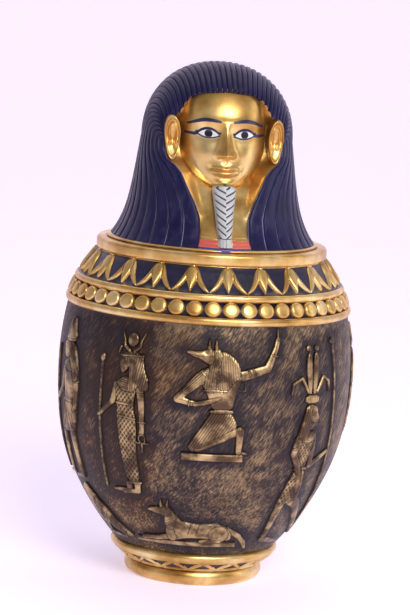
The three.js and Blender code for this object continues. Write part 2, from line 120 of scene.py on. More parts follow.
def keep_used(points, quads, fields):
    """Only the points that some quad uses."""
    used, back = np.unique(quads, return_inverse=True)
    fields = {key: value.ravel()[used] for key, value in fields.items()}
    return points[used], back.reshape(quads.shape), fields


def around(columns):
    """Azimuths of evenly spaced columns."""
    return np.arange(columns) * 2 * math.pi / columns


def polar(azimuth, r, z):
    """Points at a distance from the upright axis."""
    return np.stack([r * np.sin(azimuth), -r * np.cos(azimuth), z + 0 * azimuth], -1)


def lathe(profile, columns):
    """A closed body turned round the upright axis, from a profile that starts and ends on it."""
    ring = profile[1:-1]
    points = polar(around(columns), ring[:, :1], ring[:, 1:]).reshape(-1, 3)
    low, last = len(points), len(points) - columns
    points = np.vstack([points, [0, 0, profile[0, 1]], [0, 0, profile[-1, 1]]])
    fans = np.vstack([fan(low, 0, columns)[:, ::-1], fan(low + 1, last, columns)])
    return points, grid_faces(len(ring), columns, wrap=True), fans


def arc(centre, reach, start, end, steps):
    """Points on an oval, from one angle to another in degrees."""
    a = np.radians(np.linspace(start, end, steps))
    return np.stack([centre[0] + reach[0] * np.cos(a), centre[1] + reach[1] * np.sin(a)], 1)


def smooth_curve(knots, steps):
    """A smooth curve through knots, as rows of equally many values."""
    knots = np.asarray(knots, float)
    slope = np.gradient(knots, axis=0)
    s = np.linspace(0, len(knots) - 1, steps)
    i = np.clip(s.astype(int), 0, len(knots) - 2)
    t = (s - i)[:, None]
    a, b, da, db = knots[i], knots[i + 1], slope[i], slope[i + 1]
    blend = a * (2 * t**3 - 3 * t**2 + 1) + b * (3 * t**2 - 2 * t**3)
    return blend + da * (t**3 - 2 * t**2 + t) + db * (t**3 - t**2)


def step(value, low, high):
    """0 below low, 1 above high, smooth between."""
    t = np.clip((value - low) / (high - low), 0, 1)
    return t * t * (3 - 2 * t)


def bump_at(value, spread):
    return np.exp(-((value / spread) ** 2))


# Materials

def fed(node, inputs):
    """The node, with each named input linked to a socket or set to a constant."""
    for key, value in inputs.items():
        if hasattr(value, "links"):
            node.id_data.links.new(value, node.inputs[key])
        else:
            node.inputs[key].default_value = value
    return node


class Paint:
    """A principled material and short names for the nodes that feed it."""

    def __init__(self, name, metallic=0.0, coat=0.0, specular=0.5):
        self.material = bpy.data.materials.new(name)
        self.material.use_nodes = True
        self.new = self.material.node_tree.nodes.new
        self.shader = self.material.node_tree.nodes["Principled BSDF"]
        fed(self.shader, {"Metallic": metallic, "Specular IOR Level": specular})
        fed(self.shader, {"Coat Weight": coat, "Coat Roughness": 0.18})
        self.place = self.new("ShaderNodeTexCoord").outputs["Object"]

    def along(self, axis):
        """How far a point lies along an axis, in metres."""
        return fed(self.new("ShaderNodeSeparateXYZ"), {0: self.place}).outputs[axis]

    def attribute(self, name):
        node = self.new("ShaderNodeAttribute")
        node.attribute_name = name
        return node.outputs["Fac"]

    def mapped(self, place, scale, rotation=(0, 0, 0)):
        inputs = {"Vector": place, "Scale": scale, "Rotation": rotation}
        return fed(self.new("ShaderNodeMapping"), inputs).outputs["Vector"]

    def noise(self, scale, detail=4, rough=0.55, place=None):
        place = self.place if place is None else place
        inputs = {"Vector": place, "Scale": scale, "Detail": detail, "Roughness": rough}
        return fed(self.new("ShaderNodeTexNoise"), inputs).outputs["Fac"]

    def strokes(self, scale, twist):
        """Noise drawn out into slanting strokes: the space turns about the upright axis with height."""
        turn = self.new("ShaderNodeVectorRotate")
        turn.rotation_type = "Z_AXIS"
        fed(turn, {"Vector": self.place, "Angle": self.times(self.along("Z"), twist)})
        return self.noise(scale, 4, 0.65, self.mapped(turn.outputs["Vector"], (1, 1, 0.2)))

    def math(self, kind, a, b):
        node = self.new("ShaderNodeMath")
        node.operation = kind
        return fed(node, {0: a, 1: b}).outputs[0]

    def times(self, a, b):
        return self.math("MULTIPLY", a, b)

    def plus(self, total, *others):
        for other in others:
            total = self.math("ADD", total, other)
        return total

    def range(self, value, low, high, to_low=0.0, to_high=1.0):
        """Takes a range of values smoothly to another one, held at both ends."""
        node = self.new("ShaderNodeMapRange")
        node.interpolation_type = "SMOOTHSTEP"
        inputs = {"Value": value, "From Min": low, "From Max": high, "To Min": to_low, "To Max": to_high}
        return fed(node, inputs).outputs["Result"]

    def spread(self, noise, to_low, to_high):
        """Takes the middle of a noise to a range."""
        return self.range(noise, 0.3, 0.7, to_low, to_high)

    def mix(self, factor, *colours):
        node = self.new("ShaderNodeMix")
        node.data_type = "RGBA"
        a, b = ((*colour, 1) if isinstance(colour, tuple) else colour for colour in colours)
        return fed(node, {0: factor, 6: a, 7: b}).outputs[2]

    def ramp(self, factor, stops):
        node = self.new("ShaderNodeValToRGB")
        bar = node.color_ramp
        while len(bar.elements) < len(stops):
            bar.elements.new(0.5)
        for element, (at, colour) in zip(bar.elements, stops):
            element.position = at
            element.color = (*colour, 1)
        return fed(node, {"Fac": factor}).outputs["Color"]

    def done(self, colour, roughness, height=None, strength=0.0, distance=0.0):
        """The material, with its colour, its roughness and bumps whose height is in millimetres."""
        fed(self.shader, {"Base Color": colour, "Roughness": roughness})
        if height is not None:
            inputs = {"Height": height, "Strength": strength, "Distance": distance * MM}
            bump = fed(self.new("ShaderNodeBump"), inputs)
            fed(self.shader, {"Normal": bump.outputs["Normal"]})
        return self.material


GOLD_STOPS = [(0.3, (0.40, 0.19, 0.042)), (0.5, (0.67, 0.42, 0.13)), (0.72, (0.92, 0.72, 0.36))]
GROUND_STOPS = [(0.35, (0.004, 0.004, 0.016)), (0.6, (0.012, 0.010, 0.042)), (0.8, (0.03, 0.022, 0.07))]


def gold_paint():
    """Satin gold with painted shade in its lines and cloudy changes of tone."""
    paint = Paint("gold_paint", metallic=0.82, coat=0.15)
    # Painted shade in the creases where one raised part of an ornament lies over another
    line = paint.times(paint.attribute("line"), 0.85)
    colour = paint.mix(line, paint.ramp(paint.noise(45, 5), GOLD_STOPS), (0.06, 0.028, 0.012))
    return paint.done(colour, paint.spread(paint.noise(120), 0.30, 0.42), paint.noise(160, 2), 0.2, 0.1)


def dark_ground_paint():
    """Deep blue between the gold ornaments."""
    paint = Paint("blue_ground_paint", coat=0.3)
    colour = paint.ramp(paint.noise(120, 5), GROUND_STOPS)
    return paint.done(colour, paint.spread(paint.noise(400), 0.35, 0.5), paint.noise(700, 3), 0.3, 0.1)


def bronze_paint():
    """Dark wall with gold and copper brushed over it in slanting strokes, with painted shade on its left side
    and round the figures.
    """
    paint = Paint("bronze_paint", specular=0.25)
    across = paint.along("X")
    strokes = paint.plus(paint.strokes(1050, -6.0), paint.times(paint.strokes(800, -13.0), 0.6))
    large, small = paint.noise(40, 4, 0.6), paint.noise(160, 4, 0.65)
    patches = paint.plus(paint.times(large, 0.62), paint.times(small, 0.3))
    # Painted shade: the wall grows darker towards its left side
    left = paint.range(across, -76 * MM, -30 * MM, -0.16, 0.0)
    # Painted shade on the wall beside the relief figures
    shade = paint.plus(paint.times(paint.attribute("halo"), -0.22), left)
    value = paint.plus(strokes, patches, shade)
    copper = paint.plus(paint.noise(30, 3), paint.range(across, -70 * MM, 10 * MM, 0.3, 0.0))
    copper = paint.range(copper, 0.55, 0.85)
    dark = paint.mix(copper, (0.017, 0.012, 0.018), (0.028, 0.014, 0.010))
    middle = paint.mix(copper, (0.088, 0.060, 0.045), (0.098, 0.046, 0.022))
    colour = paint.mix(paint.range(value, 0.98, 1.4), dark, middle)
    colour = paint.mix(paint.range(value, 1.16, 1.7), colour, (0.42, 0.29, 0.15))
    fed(paint.shader, {"Metallic": paint.range(value, 1.0, 1.5, 0.15, 0.65)})
    return paint.done(colour, paint.range(strokes, 0.7, 1.0, 0.52, 0.38), strokes, 0.4, 0.25)


def relief_paint():
    """Bronze figures: gold brushed on the raised parts, with painted shade in their lines and at their feet.
    """
    paint = Paint("relief_bronze_paint", metallic=0.85, coat=0.1)
    grain = paint.noise(420, 5, 0.7)
    # Gold on the raised parts; painted shade where a part falls to the wall
    raised = paint.range(paint.plus(paint.attribute("height"), paint.times(grain, 0.7)), 0.6, 1.4)
    # Painted shade in cut lines and along edges that lie over another part
    raised = paint.times(raised, paint.range(paint.attribute("line"), 0.05, 1.0, 1.0, 0.05))
    gold = paint.mix(paint.range(paint.noise(110), 0.38, 0.68), (0.10, 0.058, 0.030), (0.58, 0.41, 0.20))
    colour = paint.mix(raised, (0.022, 0.015, 0.014), gold)
    return paint.done(colour, paint.spread(grain, 0.42, 0.30), grain, 0.3, 0.15)


def inside_paint():
    """Plain dark resin inside the jar, under its foot and inside the lid."""
    paint = Paint("plain_resin")
    cloud = paint.noise(60, 5)
    colour = paint.mix(cloud, (0.03, 0.025, 0.024), (0.075, 0.062, 0.055))
    return paint.done(colour, paint.spread(cloud, 0.55, 0.75), paint.noise(500), 0.3, 0.2)


def hair_paint():
    """Deep blue strands with pale lines between them: paint and painted reflection, less on the crown."""
    paint = Paint("blue_paint", coat=0.04, specular=0.3)
    streak = paint.noise(260, 4, 0.6, paint.mapped(paint.place, (1, 1, 0.3), (0.4, 0.3, 0.2)))
    blue = paint.mix(paint.noise(80, 5), (0.004, 0.003, 0.022), (0.013, 0.011, 0.070))
    blue = paint.mix(paint.times(paint.range(streak, 0.5, 0.72), 0.25), blue, (0.06, 0.055, 0.13))
    patchy = paint.range(paint.noise(38, 3), 0.38, 0.6)
    # Pale lines in the grooves: paler paint, brightened as a painted reflection of the pale surroundings
    line = paint.times(paint.range(paint.attribute("groove"), 0.6, 0.97), patchy)
    line = paint.times(line, paint.range(paint.along("Z"), 245 * MM, 270 * MM, 1.0, 0.12))
    colour = paint.mix(line, blue, (0.27, 0.26, 0.46))
    return paint.done(colour, paint.spread(streak, 0.30, 0.46), streak, 0.25, 0.15)


def face_paint():
    """Gold skin with painted eyes, brows and a striped collar below the neck."""
    paint = Paint("gold_face_paint", coat=0.15)
    speck = paint.noise(500, 3)
    navy = paint.mix(speck, (0.008, 0.008, 0.035), (0.02, 0.02, 0.08))
    white = paint.mix(speck, (0.52, 0.54, 0.56), (0.72, 0.74, 0.76))
    black = (0.012, 0.008, 0.010)
    red = paint.mix(speck, (0.58, 0.045, 0.05), (0.72, 0.10, 0.10))
    indigo = paint.mix(speck, (0.03, 0.02, 0.16), (0.08, 0.06, 0.30))
    colour = paint.ramp(paint.noise(40), GOLD_STOPS)
    matt = 0.0
    for name, coat in zip(FACE_FIELDS, (navy, navy, white, black, red, indigo)):
        inside = paint.range(paint.attribute(name), -0.12, 0.12, 1.0, 0.0)
        colour = paint.mix(inside, colour, coat)
        matt = paint.math("MAXIMUM", matt, inside)
    fed(paint.shader, {"Metallic": paint.range(matt, 0.0, 1.0, 0.82, 0.0)})
    return paint.done(colour, paint.spread(paint.noise(90), 0.30, 0.40), paint.noise(140, 2), 0.15, 0.1)


def beard_paint():
    """Off-white plait with dark lines."""
    paint = Paint("white_paint", coat=0.1)
    cloud = paint.noise(180, 5)
    white = paint.mix(cloud, (0.36, 0.38, 0.39), (0.62, 0.64, 0.64))
    dark = paint.range(paint.plus(paint.attribute("line"), paint.times(cloud, 0.3)), 0.45, 0.85)
    colour = paint.mix(dark, white, (0.045, 0.045, 0.06))
    return paint.done(colour, paint.spread(cloud, 0.4, 0.6), paint.noise(600), 0.3, 0.15)


def floor_paint():
    """Pale floor that gives off a little light of its own, so that it stays pale in the shade."""
    paint = Paint("pale_floor")
    cloud = paint.noise(3, 3)
    pale = paint.mix(cloud, (0.83, 0.75, 0.89), (0.87, 0.79, 0.93))
    fed(paint.shader, {"Emission Color": pale, "Emission Strength": 0.5})
    return paint.done(pale, paint.spread(cloud, 0.6, 0.75))


# Fields that the face's paint reads: distances in millimetres, negative inside the paint
FACE_FIELDS = ("kohl", "brow", "white", "iris", "red", "indigo")
UNPAINTED = 9.0

GOLD = gold_paint()
GROUND = dark_ground_paint()
BRONZE = bronze_paint()
RELIEF_BRONZE = relief_paint()
PLAIN = inside_paint()
HAIR = hair_paint()
FACE = face_paint()
BEARD = beard_paint()


# Wall of the jar

BELLY_Z = 122
BELLY_RADIUS = 85.2


def wall_radius(z):
    low = BELLY_RADIUS - 38.2 * (np.clip(BELLY_Z - z, 0, None) / 102) ** 2.38
    return np.where(z < BELLY_Z, low, BELLY_RADIUS - 4.2 * ((z - BELLY_Z) / 38) ** 2)


def wall_point(azimuth, z, out):
    """Points standing out from the wall by a distance."""
    slope = wall_radius(z + 0.5) - wall_radius(z - 0.5)
    length = np.hypot(1, slope)
    r = wall_radius(z) + out / length
    return polar(azimuth, r, z - out * slope / length)


# Relief figures: distances to outlines, negative inside

def outline_distance(x, z, outline, rounds=2):
    """Distance to a closed outline whose corners are softened."""
    p = np.asarray(outline, float)
    for _ in range(rounds):
        q = np.roll(p, -1, 0)
        p = np.stack([0.78 * p + 0.22 * q, 0.22 * p + 0.78 * q], 1).reshape(-1, 2)
    q = np.roll(p, -1, 0)
    nearest = np.full(x.shape, 1e9)
    inside = np.zeros(x.shape, bool)
    for (ax, az), (bx, bz) in zip(p, q):
        dx, dz = bx - ax, bz - az
        t = np.clip(((x - ax) * dx + (z - az) * dz) / (dx * dx + dz * dz + 1e-12), 0, 1)
        nearest = np.minimum(nearest, np.hypot(x - ax - t * dx, z - az - t * dz))
        if abs(dz) > 1e-12:
            inside ^= ((az > z) != (bz > z)) & (x < ax + dx * (z - az) / dz)
    return np.where(inside, -nearest, nearest)


def limb_distance(x, z, joints, widths):
    """Distance to a rounded limb of changing width through its joints."""
    widths = [widths] * len(joints) if np.isscalar(widths) else widths
    nearest = np.full(x.shape, 1e9)
    for i in range(len(joints) - 1):
        (ax, az), (bx, bz) = joints[i], joints[i + 1]
        dx, dz = bx - ax, bz - az
        t = np.clip(((x - ax) * dx + (z - az) * dz) / (dx * dx + dz * dz), 0, 1)
        half = (widths[i] + (widths[i + 1] - widths[i]) * t) / 2
        nearest = np.minimum(nearest, np.hypot(x - ax - t * dx, z - az - t * dz) - half)
    return nearest


def oval_distance(x, z, centre, rx, rz):
    u, v = (x - centre[0]) / rx, (z - centre[1]) / rz
    return (np.hypot(u, v) - 1) * min(rx, rz)


class Relief:
    """Height and line fields of one figure, the lines marking painted shade; x runs along the wall and z up,
    both in millimetres.
    """

    def __init__(self, x, z):
        self.x, self.z = x, z
        self.height = np.zeros(x.shape)
        self.line = np.zeros(x.shape)
        self.edge = np.full(x.shape, 1e9)

    def add(self, distance, top, soft=2.6, lift=0.8):
        """Lays one rounded part on the figure."""
        deep = np.clip(-distance, 0, None)
        dome = (1 - (1 - np.clip(deep / soft, 0, 1)) ** 2) ** 0.7
        rise = lift * step(deep, 0, 0.5) + (top - lift) * dome
        over = (distance < 0) & (rise > self.height * 0.9 - 0.25)
        # A line of painted shade along the part's edge where it lies over an earlier part
        rim = 0.85 * bump_at(distance, 0.32) * (self.edge < 0)
        self.line = np.where(over, self.line * step(distance, -0.5, 0), self.line)
        self.line = np.maximum(self.line, rim)
        self.height = np.where(over, np.maximum(rise, self.height * 0.9 - 0.25), self.height)
        self.edge = np.minimum(self.edge, distance)
        return distance

    def part(self, outline, top, soft=2.6, lift=0.8, rounds=2):
        return self.add(outline_distance(self.x, self.z, outline, rounds), top, soft, lift)

    def limb(self, joints, widths, top, lift=0.8):
        widest = widths if np.isscalar(widths) else max(widths)
        return self.add(limb_distance(self.x, self.z, joints, widths), top, widest / 2, lift)

    def band(self, start, end, width=1.3, top=2.0):
        """A bracelet or a belt."""
        self.limb([start, end], width, top, 1.0)

    def oval(self, centre, rx, rz, top, lift=0.8):
        return self.add(oval_distance(self.x, self.z, centre, rx, rz), top, min(rx, rz), lift)

    def cut(self, inside, wave, depth):
        """Sinks lines into a part: wave is 1 in the middle of a line and 0 away from it."""
        amount = step(-inside, 0.1, 0.7) * wave
        self.height = self.height - depth * amount
        # What is sunk here also gets painted shade
        self.line = np.maximum(self.line, 0.75 * amount)

    def eye(self, inside, x, z, flat=1.5, size=0.7, depth=0.3):
        self.cut(inside, bump_at(np.hypot(self.x - x, (self.z - z) * flat), size), depth)

    def stripes(self, inside, across, pitch, depth, sharp=3):
        self.cut(inside, (0.5 + 0.5 * np.cos(2 * math.pi * across / (0.76 * pitch))) ** sharp, depth)

    def striped(self, outline, top, across, pitch, depth=0.4, soft=2.6, rounds=2):
        """A part with lines cut across it: pleats, hair or feathers."""
        inside = self.part(outline, top, soft, rounds=rounds)
        self.stripes(inside, across, pitch, depth)
        return inside

    def collar(self, outline, bow=0.05, pitch=1.6):
        self.striped(outline, 2.0, self.z - bow * self.x**2, pitch, 0.3, 2)

    def net(self, inside, pitch, depth):
        """A diamond net of fine raised cords."""
        a = np.abs(np.sin(math.pi * (self.x * 1.1 + self.z * 0.8) / pitch))
        b = np.abs(np.sin(math.pi * (self.x * 1.1 - self.z * 0.8) / pitch))
        self.cut(inside, step(np.minimum(a, b), 0.22, 0.62), depth)

    def kept(self, quads, margin):
        """The quads on the figure or within a margin of it."""
        return quads[(self.edge < margin).ravel()[quads].all(1)]


def kneeling_god(f):
    """Jackal-headed god on one knee, one arm raised."""
    x, z = f.x, f.z
    f.part([(-17.4, 82.4), (17.4, 82.4), (17.4, 87.2), (-17.4, 87.2)], 1.7, 1.4, rounds=0)
    f.limb([(10, 130.5), (28.5, 135.6), (33, 147), (33.9, 151.5)], [6.6, 5.2, 3.6, 3.4], 1.7)
    f.limb([(33.9, 151.5), (33.7, 157.4)], [1.5, 1.1], 1.2, 0.5)
    f.limb([(14.6, 88.4), (19, 87.6)], [2.6, 1.6], 1.3)
    f.part([(-11.8, 133), (-9, 127), (-4.6, 119.5), (-2.4, 111.6), (9.4, 111.6), (11, 121), (13.4, 128),
            (13.4, 134)], 1.7)
    f.striped([(-2.6, 112), (-7.8, 102), (-14.8, 91), (-12.4, 87.6), (-8.4, 88.4), (11.4, 101), (13.2, 104),
            (9, 112)], 1.9, x * 0.86 - z * 0.5, 1.8)
    f.limb([(-2.6, 111.4), (9, 111.6)], 2.4, 2.0, 0.9)
    f.limb([(-8.6, 89.4), (4, 95.4), (14.4, 101)], [3.4, 4, 5], 2.1)
    f.limb([(14.8, 100.6), (14.4, 88.6)], [5, 3.8], 2.1)
    f.limb([(-9.6, 130), (-21.4, 117.2), (-11, 115)], [6.4, 4.8, 3.6], 1.8)
    sleeve = f.limb([(-7, 131.4), (-15.6, 122.8)], [7.2, 5.6], 2.0)
    f.stripes(sleeve, x * 0.7 - z * 0.7, 1.5, 0.25)
    f.limb([(-11, 115), (-4, 116.6), (2.4, 119.2)], [3.4, 3.6, 1.4], 1.5)
    f.band((17.2, 135.2), (18.4, 131.4), 1.2)
    f.band((19.8, 135.8), (21, 132.2), 1.2)
    f.band((31, 143.2), (33.6, 142.4), 1.2)
    f.band((-14.4, 116.8), (-14.7, 113.8), 1.2)
    f.collar([(-9.6, 132.6), (0, 126.4), (10.6, 133), (8, 136.4), (-6, 136.6)], 0.04, 1.7)
    f.striped([(0, 146), (7.4, 143.8), (12.6, 137.6), (13.6, 132), (9.6, 128), (6.6, 124), (5.4, 121.8),
            (0.4, 121.8)], 1.9, x + 0.12 * (z - 140), 1.7, 0.35)
    f.striped([(-3, 146.6), (1.6, 146.4), (2.2, 140), (-0.2, 132), (-0.4, 121.8), (-6.6, 121.8), (-6.8, 128),
            (-5.6, 136)], 2.1, x - 0.1 * (z - 132), 1.6, 0.35, 2.2, rounds=1)
    f.limb([(-7, 123), (5.6, 123)], 1.1, 2.2, 1.4)
    f.part([(0.4, 145.4), (-1.2, 153), (-3.4, 146)], 1.7, 1.2)
    f.part([(-3.2, 146), (-5.3, 153.4), (-7, 145)], 1.8, 1.2)
    snout = f.part([(-3, 147), (-7, 145.6), (-10, 144.4), (-17.8, 144.9), (-17.9, 142.8), (-14.6, 141.6),
            (-9.6, 139.6), (-4.4, 136.2), (-1.4, 140)], 2.1, 2.2)
    f.cut(snout, bump_at(z - 142.6 + 0.1 * (x + 18), 0.45) * (x < -8.6), 0.45)
    f.eye(snout, -6.6, 143.6, 1.6, 1.3, 0.45)
    frame_side = np.maximum(np.abs(x - 13.5), np.abs(z - 126))
    f.add(np.abs(frame_side - 2.6) - 0.5, 0.9, 0.6, 0.4)


def goddess(f):
    """Goddess with a sun disc between horns, a net dress, a staff and an ankh."""
    x, z = f.x, f.z
    f.limb([(-7.4, 121), (-9.9, 111.6), (-20, 102)], [4.8, 4, 2.8], 1.4)
    staff = f.limb([(-18.7, 134), (-19.3, 100), (-18, 60.2)], 1.7, 1.2, 0.7)
    f.stripes(staff, z, 3.6, 0.25, 4)
    f.part([(-18, 138), (-20.8, 134.4), (-18.8, 131.4), (-16.6, 134)], 1.3, 1.2)
    f.limb([(-1.4, 64), (-1.8, 60), (-12, 59.4)], [4.4, 3.6, 2.2], 1.2)
    f.limb([(3.8, 64), (3.6, 60.4), (-5.4, 58.6)], [4.4, 3.8, 2.4], 1.5)
    dress = f.part([(-8.4, 123.4), (-7, 111), (-6.6, 99), (-4.6, 82), (-2.2, 65), (6.2, 65), (5.2, 82),
            (6.2, 99), (3.6, 111), (6.6, 124)], 1.9)
    f.net(dress, 2.7, 0.42)
    f.band((-2, 65.6), (6.2, 65.6), 1.6, 1.9)
    f.band((-6.6, 111), (3.4, 111), 1.8)
    f.band((-6, 104), (5, 103))
    f.limb([(7.2, 120.6), (8.6, 112), (9.3, 99), (9, 95)], [5.2, 4.4, 3.2, 3.6], 2.0)
    f.band((6.2, 117.4), (9.8, 117.2))
    f.band((7.4, 101.6), (11.4, 101.6), 1.3, 1.8)
    ring = np.abs(oval_distance(x, z, (9.1, 92), 1.9, 2.5)) - 0.5
    f.add(ring, 1.3, 0.6, 0.6)
    f.limb([(5.4, 89.6), (12.6, 89.6)], 1.4, 1.3, 0.6)
    f.limb([(9.1, 89.6), (9.3, 84.6)], [1.2, 1.8], 1.3, 0.6)
    f.collar([(-9, 123), (-2, 117), (6.4, 119.4), (6.8, 125), (-2, 127)])
    f.part([(-6.6, 133), (-5, 128.4), (-3, 127.4), (0, 131), (0, 138), (-5, 137.6)], 2.1, 2)
    hair = f.striped([(-5.2, 137.4), (-4.4, 139.4), (2, 140.8), (8.6, 139.2), (9.4, 132), (12.8, 124.6),
            (12.2, 118.8), (8, 119.4), (6.6, 122), (3.4, 117.6), (0.2, 117.8), (0.2, 127), (-1, 134),
            (-3.2, 135.6)], 2.1, x - 0.2 * (z - 128) * (x > 4), 1.9)
    f.band((-5, 137.8), (8.4, 138.6), 1.5, 2.1)
    f.eye(hair, -3.6, 133)
    horn = [(1.6, 140.8), (4.8, 143), (5.2, 146.6), (7.6, 151.6)]
    for side in (-1, 1):
        f.limb([(0.9 + side * out, up) for out, up in horn], [2.2, 1.9, 1.5, 0.8], 1.6)
    f.oval((0.9, 146.8), 3.5, 4.2, 1.8)
    f.limb([(-7.4, 138.8), (-6.2, 142.4)], [0.9, 1.5], 1.6)


def king(f):
    """Standing king: tall crown, pleated kilt, one arm forward with a staff."""
    x, z = f.x, f.z
    f.limb([(-20.6, 134), (-21.4, 100), (-23, 62)], 1.7, 1.2, 0.7)
    f.limb([(-7, 122), (-11, 110), (-20.8, 103)], [5, 4, 2.8], 1.4)
    f.limb([(-9.4, 88), (-12.4, 62)], [5.8, 3.8], 1.5)
    f.limb([(-12, 61), (-21, 60)], [3.2, 2], 1.3)
    f.limb([(0.8, 88), (2, 62)], [6, 3.8], 1.6)
    f.limb([(2, 61), (-6.8, 60)], [3.2, 2], 1.4)
    f.part([(-8.2, 126.4), (-6.6, 114), (-5, 104), (4.4, 104), (5.6, 114), (7.4, 126.4)], 1.8)
    f.striped([(-4.8, 106), (-8.4, 96), (-13.8, 85.4), (5.6, 86.4), (5.4, 96), (4.4, 106)], 1.9,
            x + 0.34 * (z - 106) * (x + 4) / 8, 2.2, 0.42)
    f.band((-5, 105), (4.4, 105), 2)
    f.limb([(6.4, 123), (7.6, 112), (5.2, 97), (5, 93.6)], [5.2, 4.2, 3, 3.4], 2.0)
    f.band((5.4, 117), (9.4, 116.6))
    f.band((3.8, 99.6), (7.4, 99.2), 1.3, 1.8)
    f.collar([(-8.4, 126), (-2, 120), (7, 123), (7, 127.6), (-2, 129)])
    f.striped([(-3, 138.6), (2.6, 138.4), (8.2, 126.4), (9.4, 115.8), (4, 116), (2.6, 124), (-1, 128),
            (-4, 134)], 2.1, x + 0.5 * (z - 128), 2.0)
    face = f.part([(-3, 139), (-8.4, 138.4), (-8.4, 134), (-7, 129.4), (-3.4, 128), (0, 132),
            (0, 138)], 2.1, 2)
    f.eye(face, -5.6, 135)
    crown = f.part([(-8.4, 138), (-7.4, 143), (-4.4, 152.4), (-1, 153), (0.6, 147), (3.4, 142),
            (3, 138)], 2.0)
    f.cut(crown, bump_at(z - 140 - 0.1 * x, 0.4), 0.35)


def strider(f):
    """Striding god: plumed crown on long horns, net kilt, a long staff."""
    x, z = f.x, f.z
    f.limb([(17.6, 149.4), (20.6, 125), (23.4, 86), (27, 34)], 1.7, 1.2, 0.7)
    f.part([(13.8, 148), (17, 151.6), (20.6, 149.6), (18.6, 146)], 1.3, 1.2)
    f.limb([(5, 94), (6.6, 78), (21.4, 84.2)], [5, 4.2, 3], 1.4)
    f.limb([(-5.6, 57), (-5.2, 44), (-3.6, 33)], [7, 5, 3.6], 1.5)
    f.limb([(-3.6, 31.4), (4, 29.6), (13.6, 27.6)], [4, 3.2, 1.8], 1.3)
    f.limb([(0, 58), (8.4, 53.4), (16, 43), (24.6, 33)], [7.4, 6.6, 5, 3.8], 1.7)
    f.limb([(24.8, 32), (32, 29.8)], [3.6, 2], 1.4)
    kilt = f.part([(-5, 77), (-9.6, 53.6), (-3, 54.4), (3.6, 56.6), (3.4, 66), (3, 77)], 1.9)
    f.net(kilt, 2.7, 0.42)
    f.part([(0.6, 76), (3.4, 75.6), (6.4, 58), (2.6, 55.4)], 2.0, 1.6)
    chest = f.part([(-8.4, 97), (-6, 87), (-4.6, 76.6), (2.8, 76.6), (4.2, 87), (6.6, 97.4)], 1.8)
    f.net(chest, 2.6, 0.26)
    f.band((-5, 76.6), (3, 76.8), 2)
    f.limb([(-7, 94.6), (-8.6, 86), (-1, 74), (2.2, 63)], [5.4, 4.6, 3.8, 3.6], 2.0)
    f.band((-9.6, 89), (-6, 90.4))
    f.collar([(-8.4, 96), (-1, 90.6), (6.4, 94), (6, 99), (-6, 99)])
    f.striped([(-3.4, 114.4), (-5.6, 108), (-7.6, 101), (-8.8, 95), (-4.4, 94), (0, 94.6), (1, 103), (2, 111),
            (1.4, 114.6)], 2.1, x - 0.2 * (z - 100), 1.9)
    face = f.part([(0, 114), (4.4, 113), (5.2, 109.4), (7, 107), (5.8, 104), (2.4, 102.8),
            (-0.6, 105)], 2.1, 2)
    f.eye(face, 3.4, 109.6)
    f.limb([(-3.4, 121.4), (-8.8, 129.6), (-15, 126.6), (-15.8, 120.6)], [2.2, 2, 2, 1.1], 1.4)
    f.limb([(3.6, 121.4), (8.4, 129.6), (13.6, 126.6), (14.4, 120.6)], [2.2, 2, 2, 1.1], 1.4)
    f.striped([(-5.8, 114.6), (5.2, 114.6), (5.4, 119.6), (-5.6, 120)], 2.0, x, 1.9, 0.3, 1.8, rounds=1)
    for side in (-1, 1):
        f.striped([(side * 0.2 - 0.5, 119.6), (side * 3 - 0.6, 120), (side * 5 - 0.8, 133),
                (side * 4.6 - 0.8, 142), (side * 2.4 - 0.8, 144.6), (side * 0.3 - 0.8, 141)], 1.8,
                z + side * 0.9 * x, 1.7, 0.3, 2)
        f.oval((side * 3.2 - 0.8, 146), 1.9, 1.9, 1.5)


def jackal(f):
    """Jackal lying on a shrine."""
    x, z = f.x, f.z
    f.part([(-31, 27.4), (27, 27.4), (27, 30.6), (-31, 30.6)], 1.3, 1.2, rounds=0)
    f.limb([(23, 39), (28.6, 35), (31.6, 31), (32.6, 27)], [3.4, 4, 3.8, 2.6], 1.4)
    body = f.part([(-13, 32), (-13.4, 38.6), (-10, 46), (-7.4, 48.4), (-4, 44), (2.4, 42.4), (10.4, 43),
            (19.2, 43.4), (24.6, 38), (24, 31.4), (10, 33.4), (-2, 33), (-8, 30.6)], 1.9, 4)
    f.limb([(-8.6, 34), (-17, 31.8), (-26.4, 31)], [5, 3.4, 2.8], 1.7)
    f.limb([(-10.6, 38), (-9, 33)], [5.4, 5], 1.9)
    f.part([(10.4, 37.6), (13.6, 42), (20, 42.4), (23, 37.4), (20, 31), (12, 31.2)], 2.1, 3.4)
    f.limb([(17, 32), (6.4, 31.2)], [3.4, 2.4], 1.8)
    neck = f.part([(-14, 40), (-14.2, 47.6), (-12, 52.6), (-9, 51), (-6.6, 45), (-8.6, 38)], 2.0, 2.4)
    f.stripes(neck, z - 0.5 * x, 2.4, 0.2, 6)
    head = f.part([(-10.6, 53), (-16.4, 52.8), (-23.6, 51.4), (-24.2, 49.4), (-18, 48.2), (-13.4, 46.8),
            (-10, 49)], 2.0, 2)
    f.part([(-14.6, 52), (-16.6, 59.2), (-17.4, 52)], 1.5, 1.2)
    f.part([(-11, 51.6), (-12.2, 59.2), (-14, 52.4)], 1.7, 1.2)
    f.eye(head, -15.4, 51, 1.6)
    f.cut(head, bump_at(z - 49.6, 0.3) * (x < -17), 0.25)
    for at in (0, 4.5):
        f.cut(body, bump_at(x - at - 0.3 * (z - 38), 0.5) * step(z, 35, 37), 0.25)


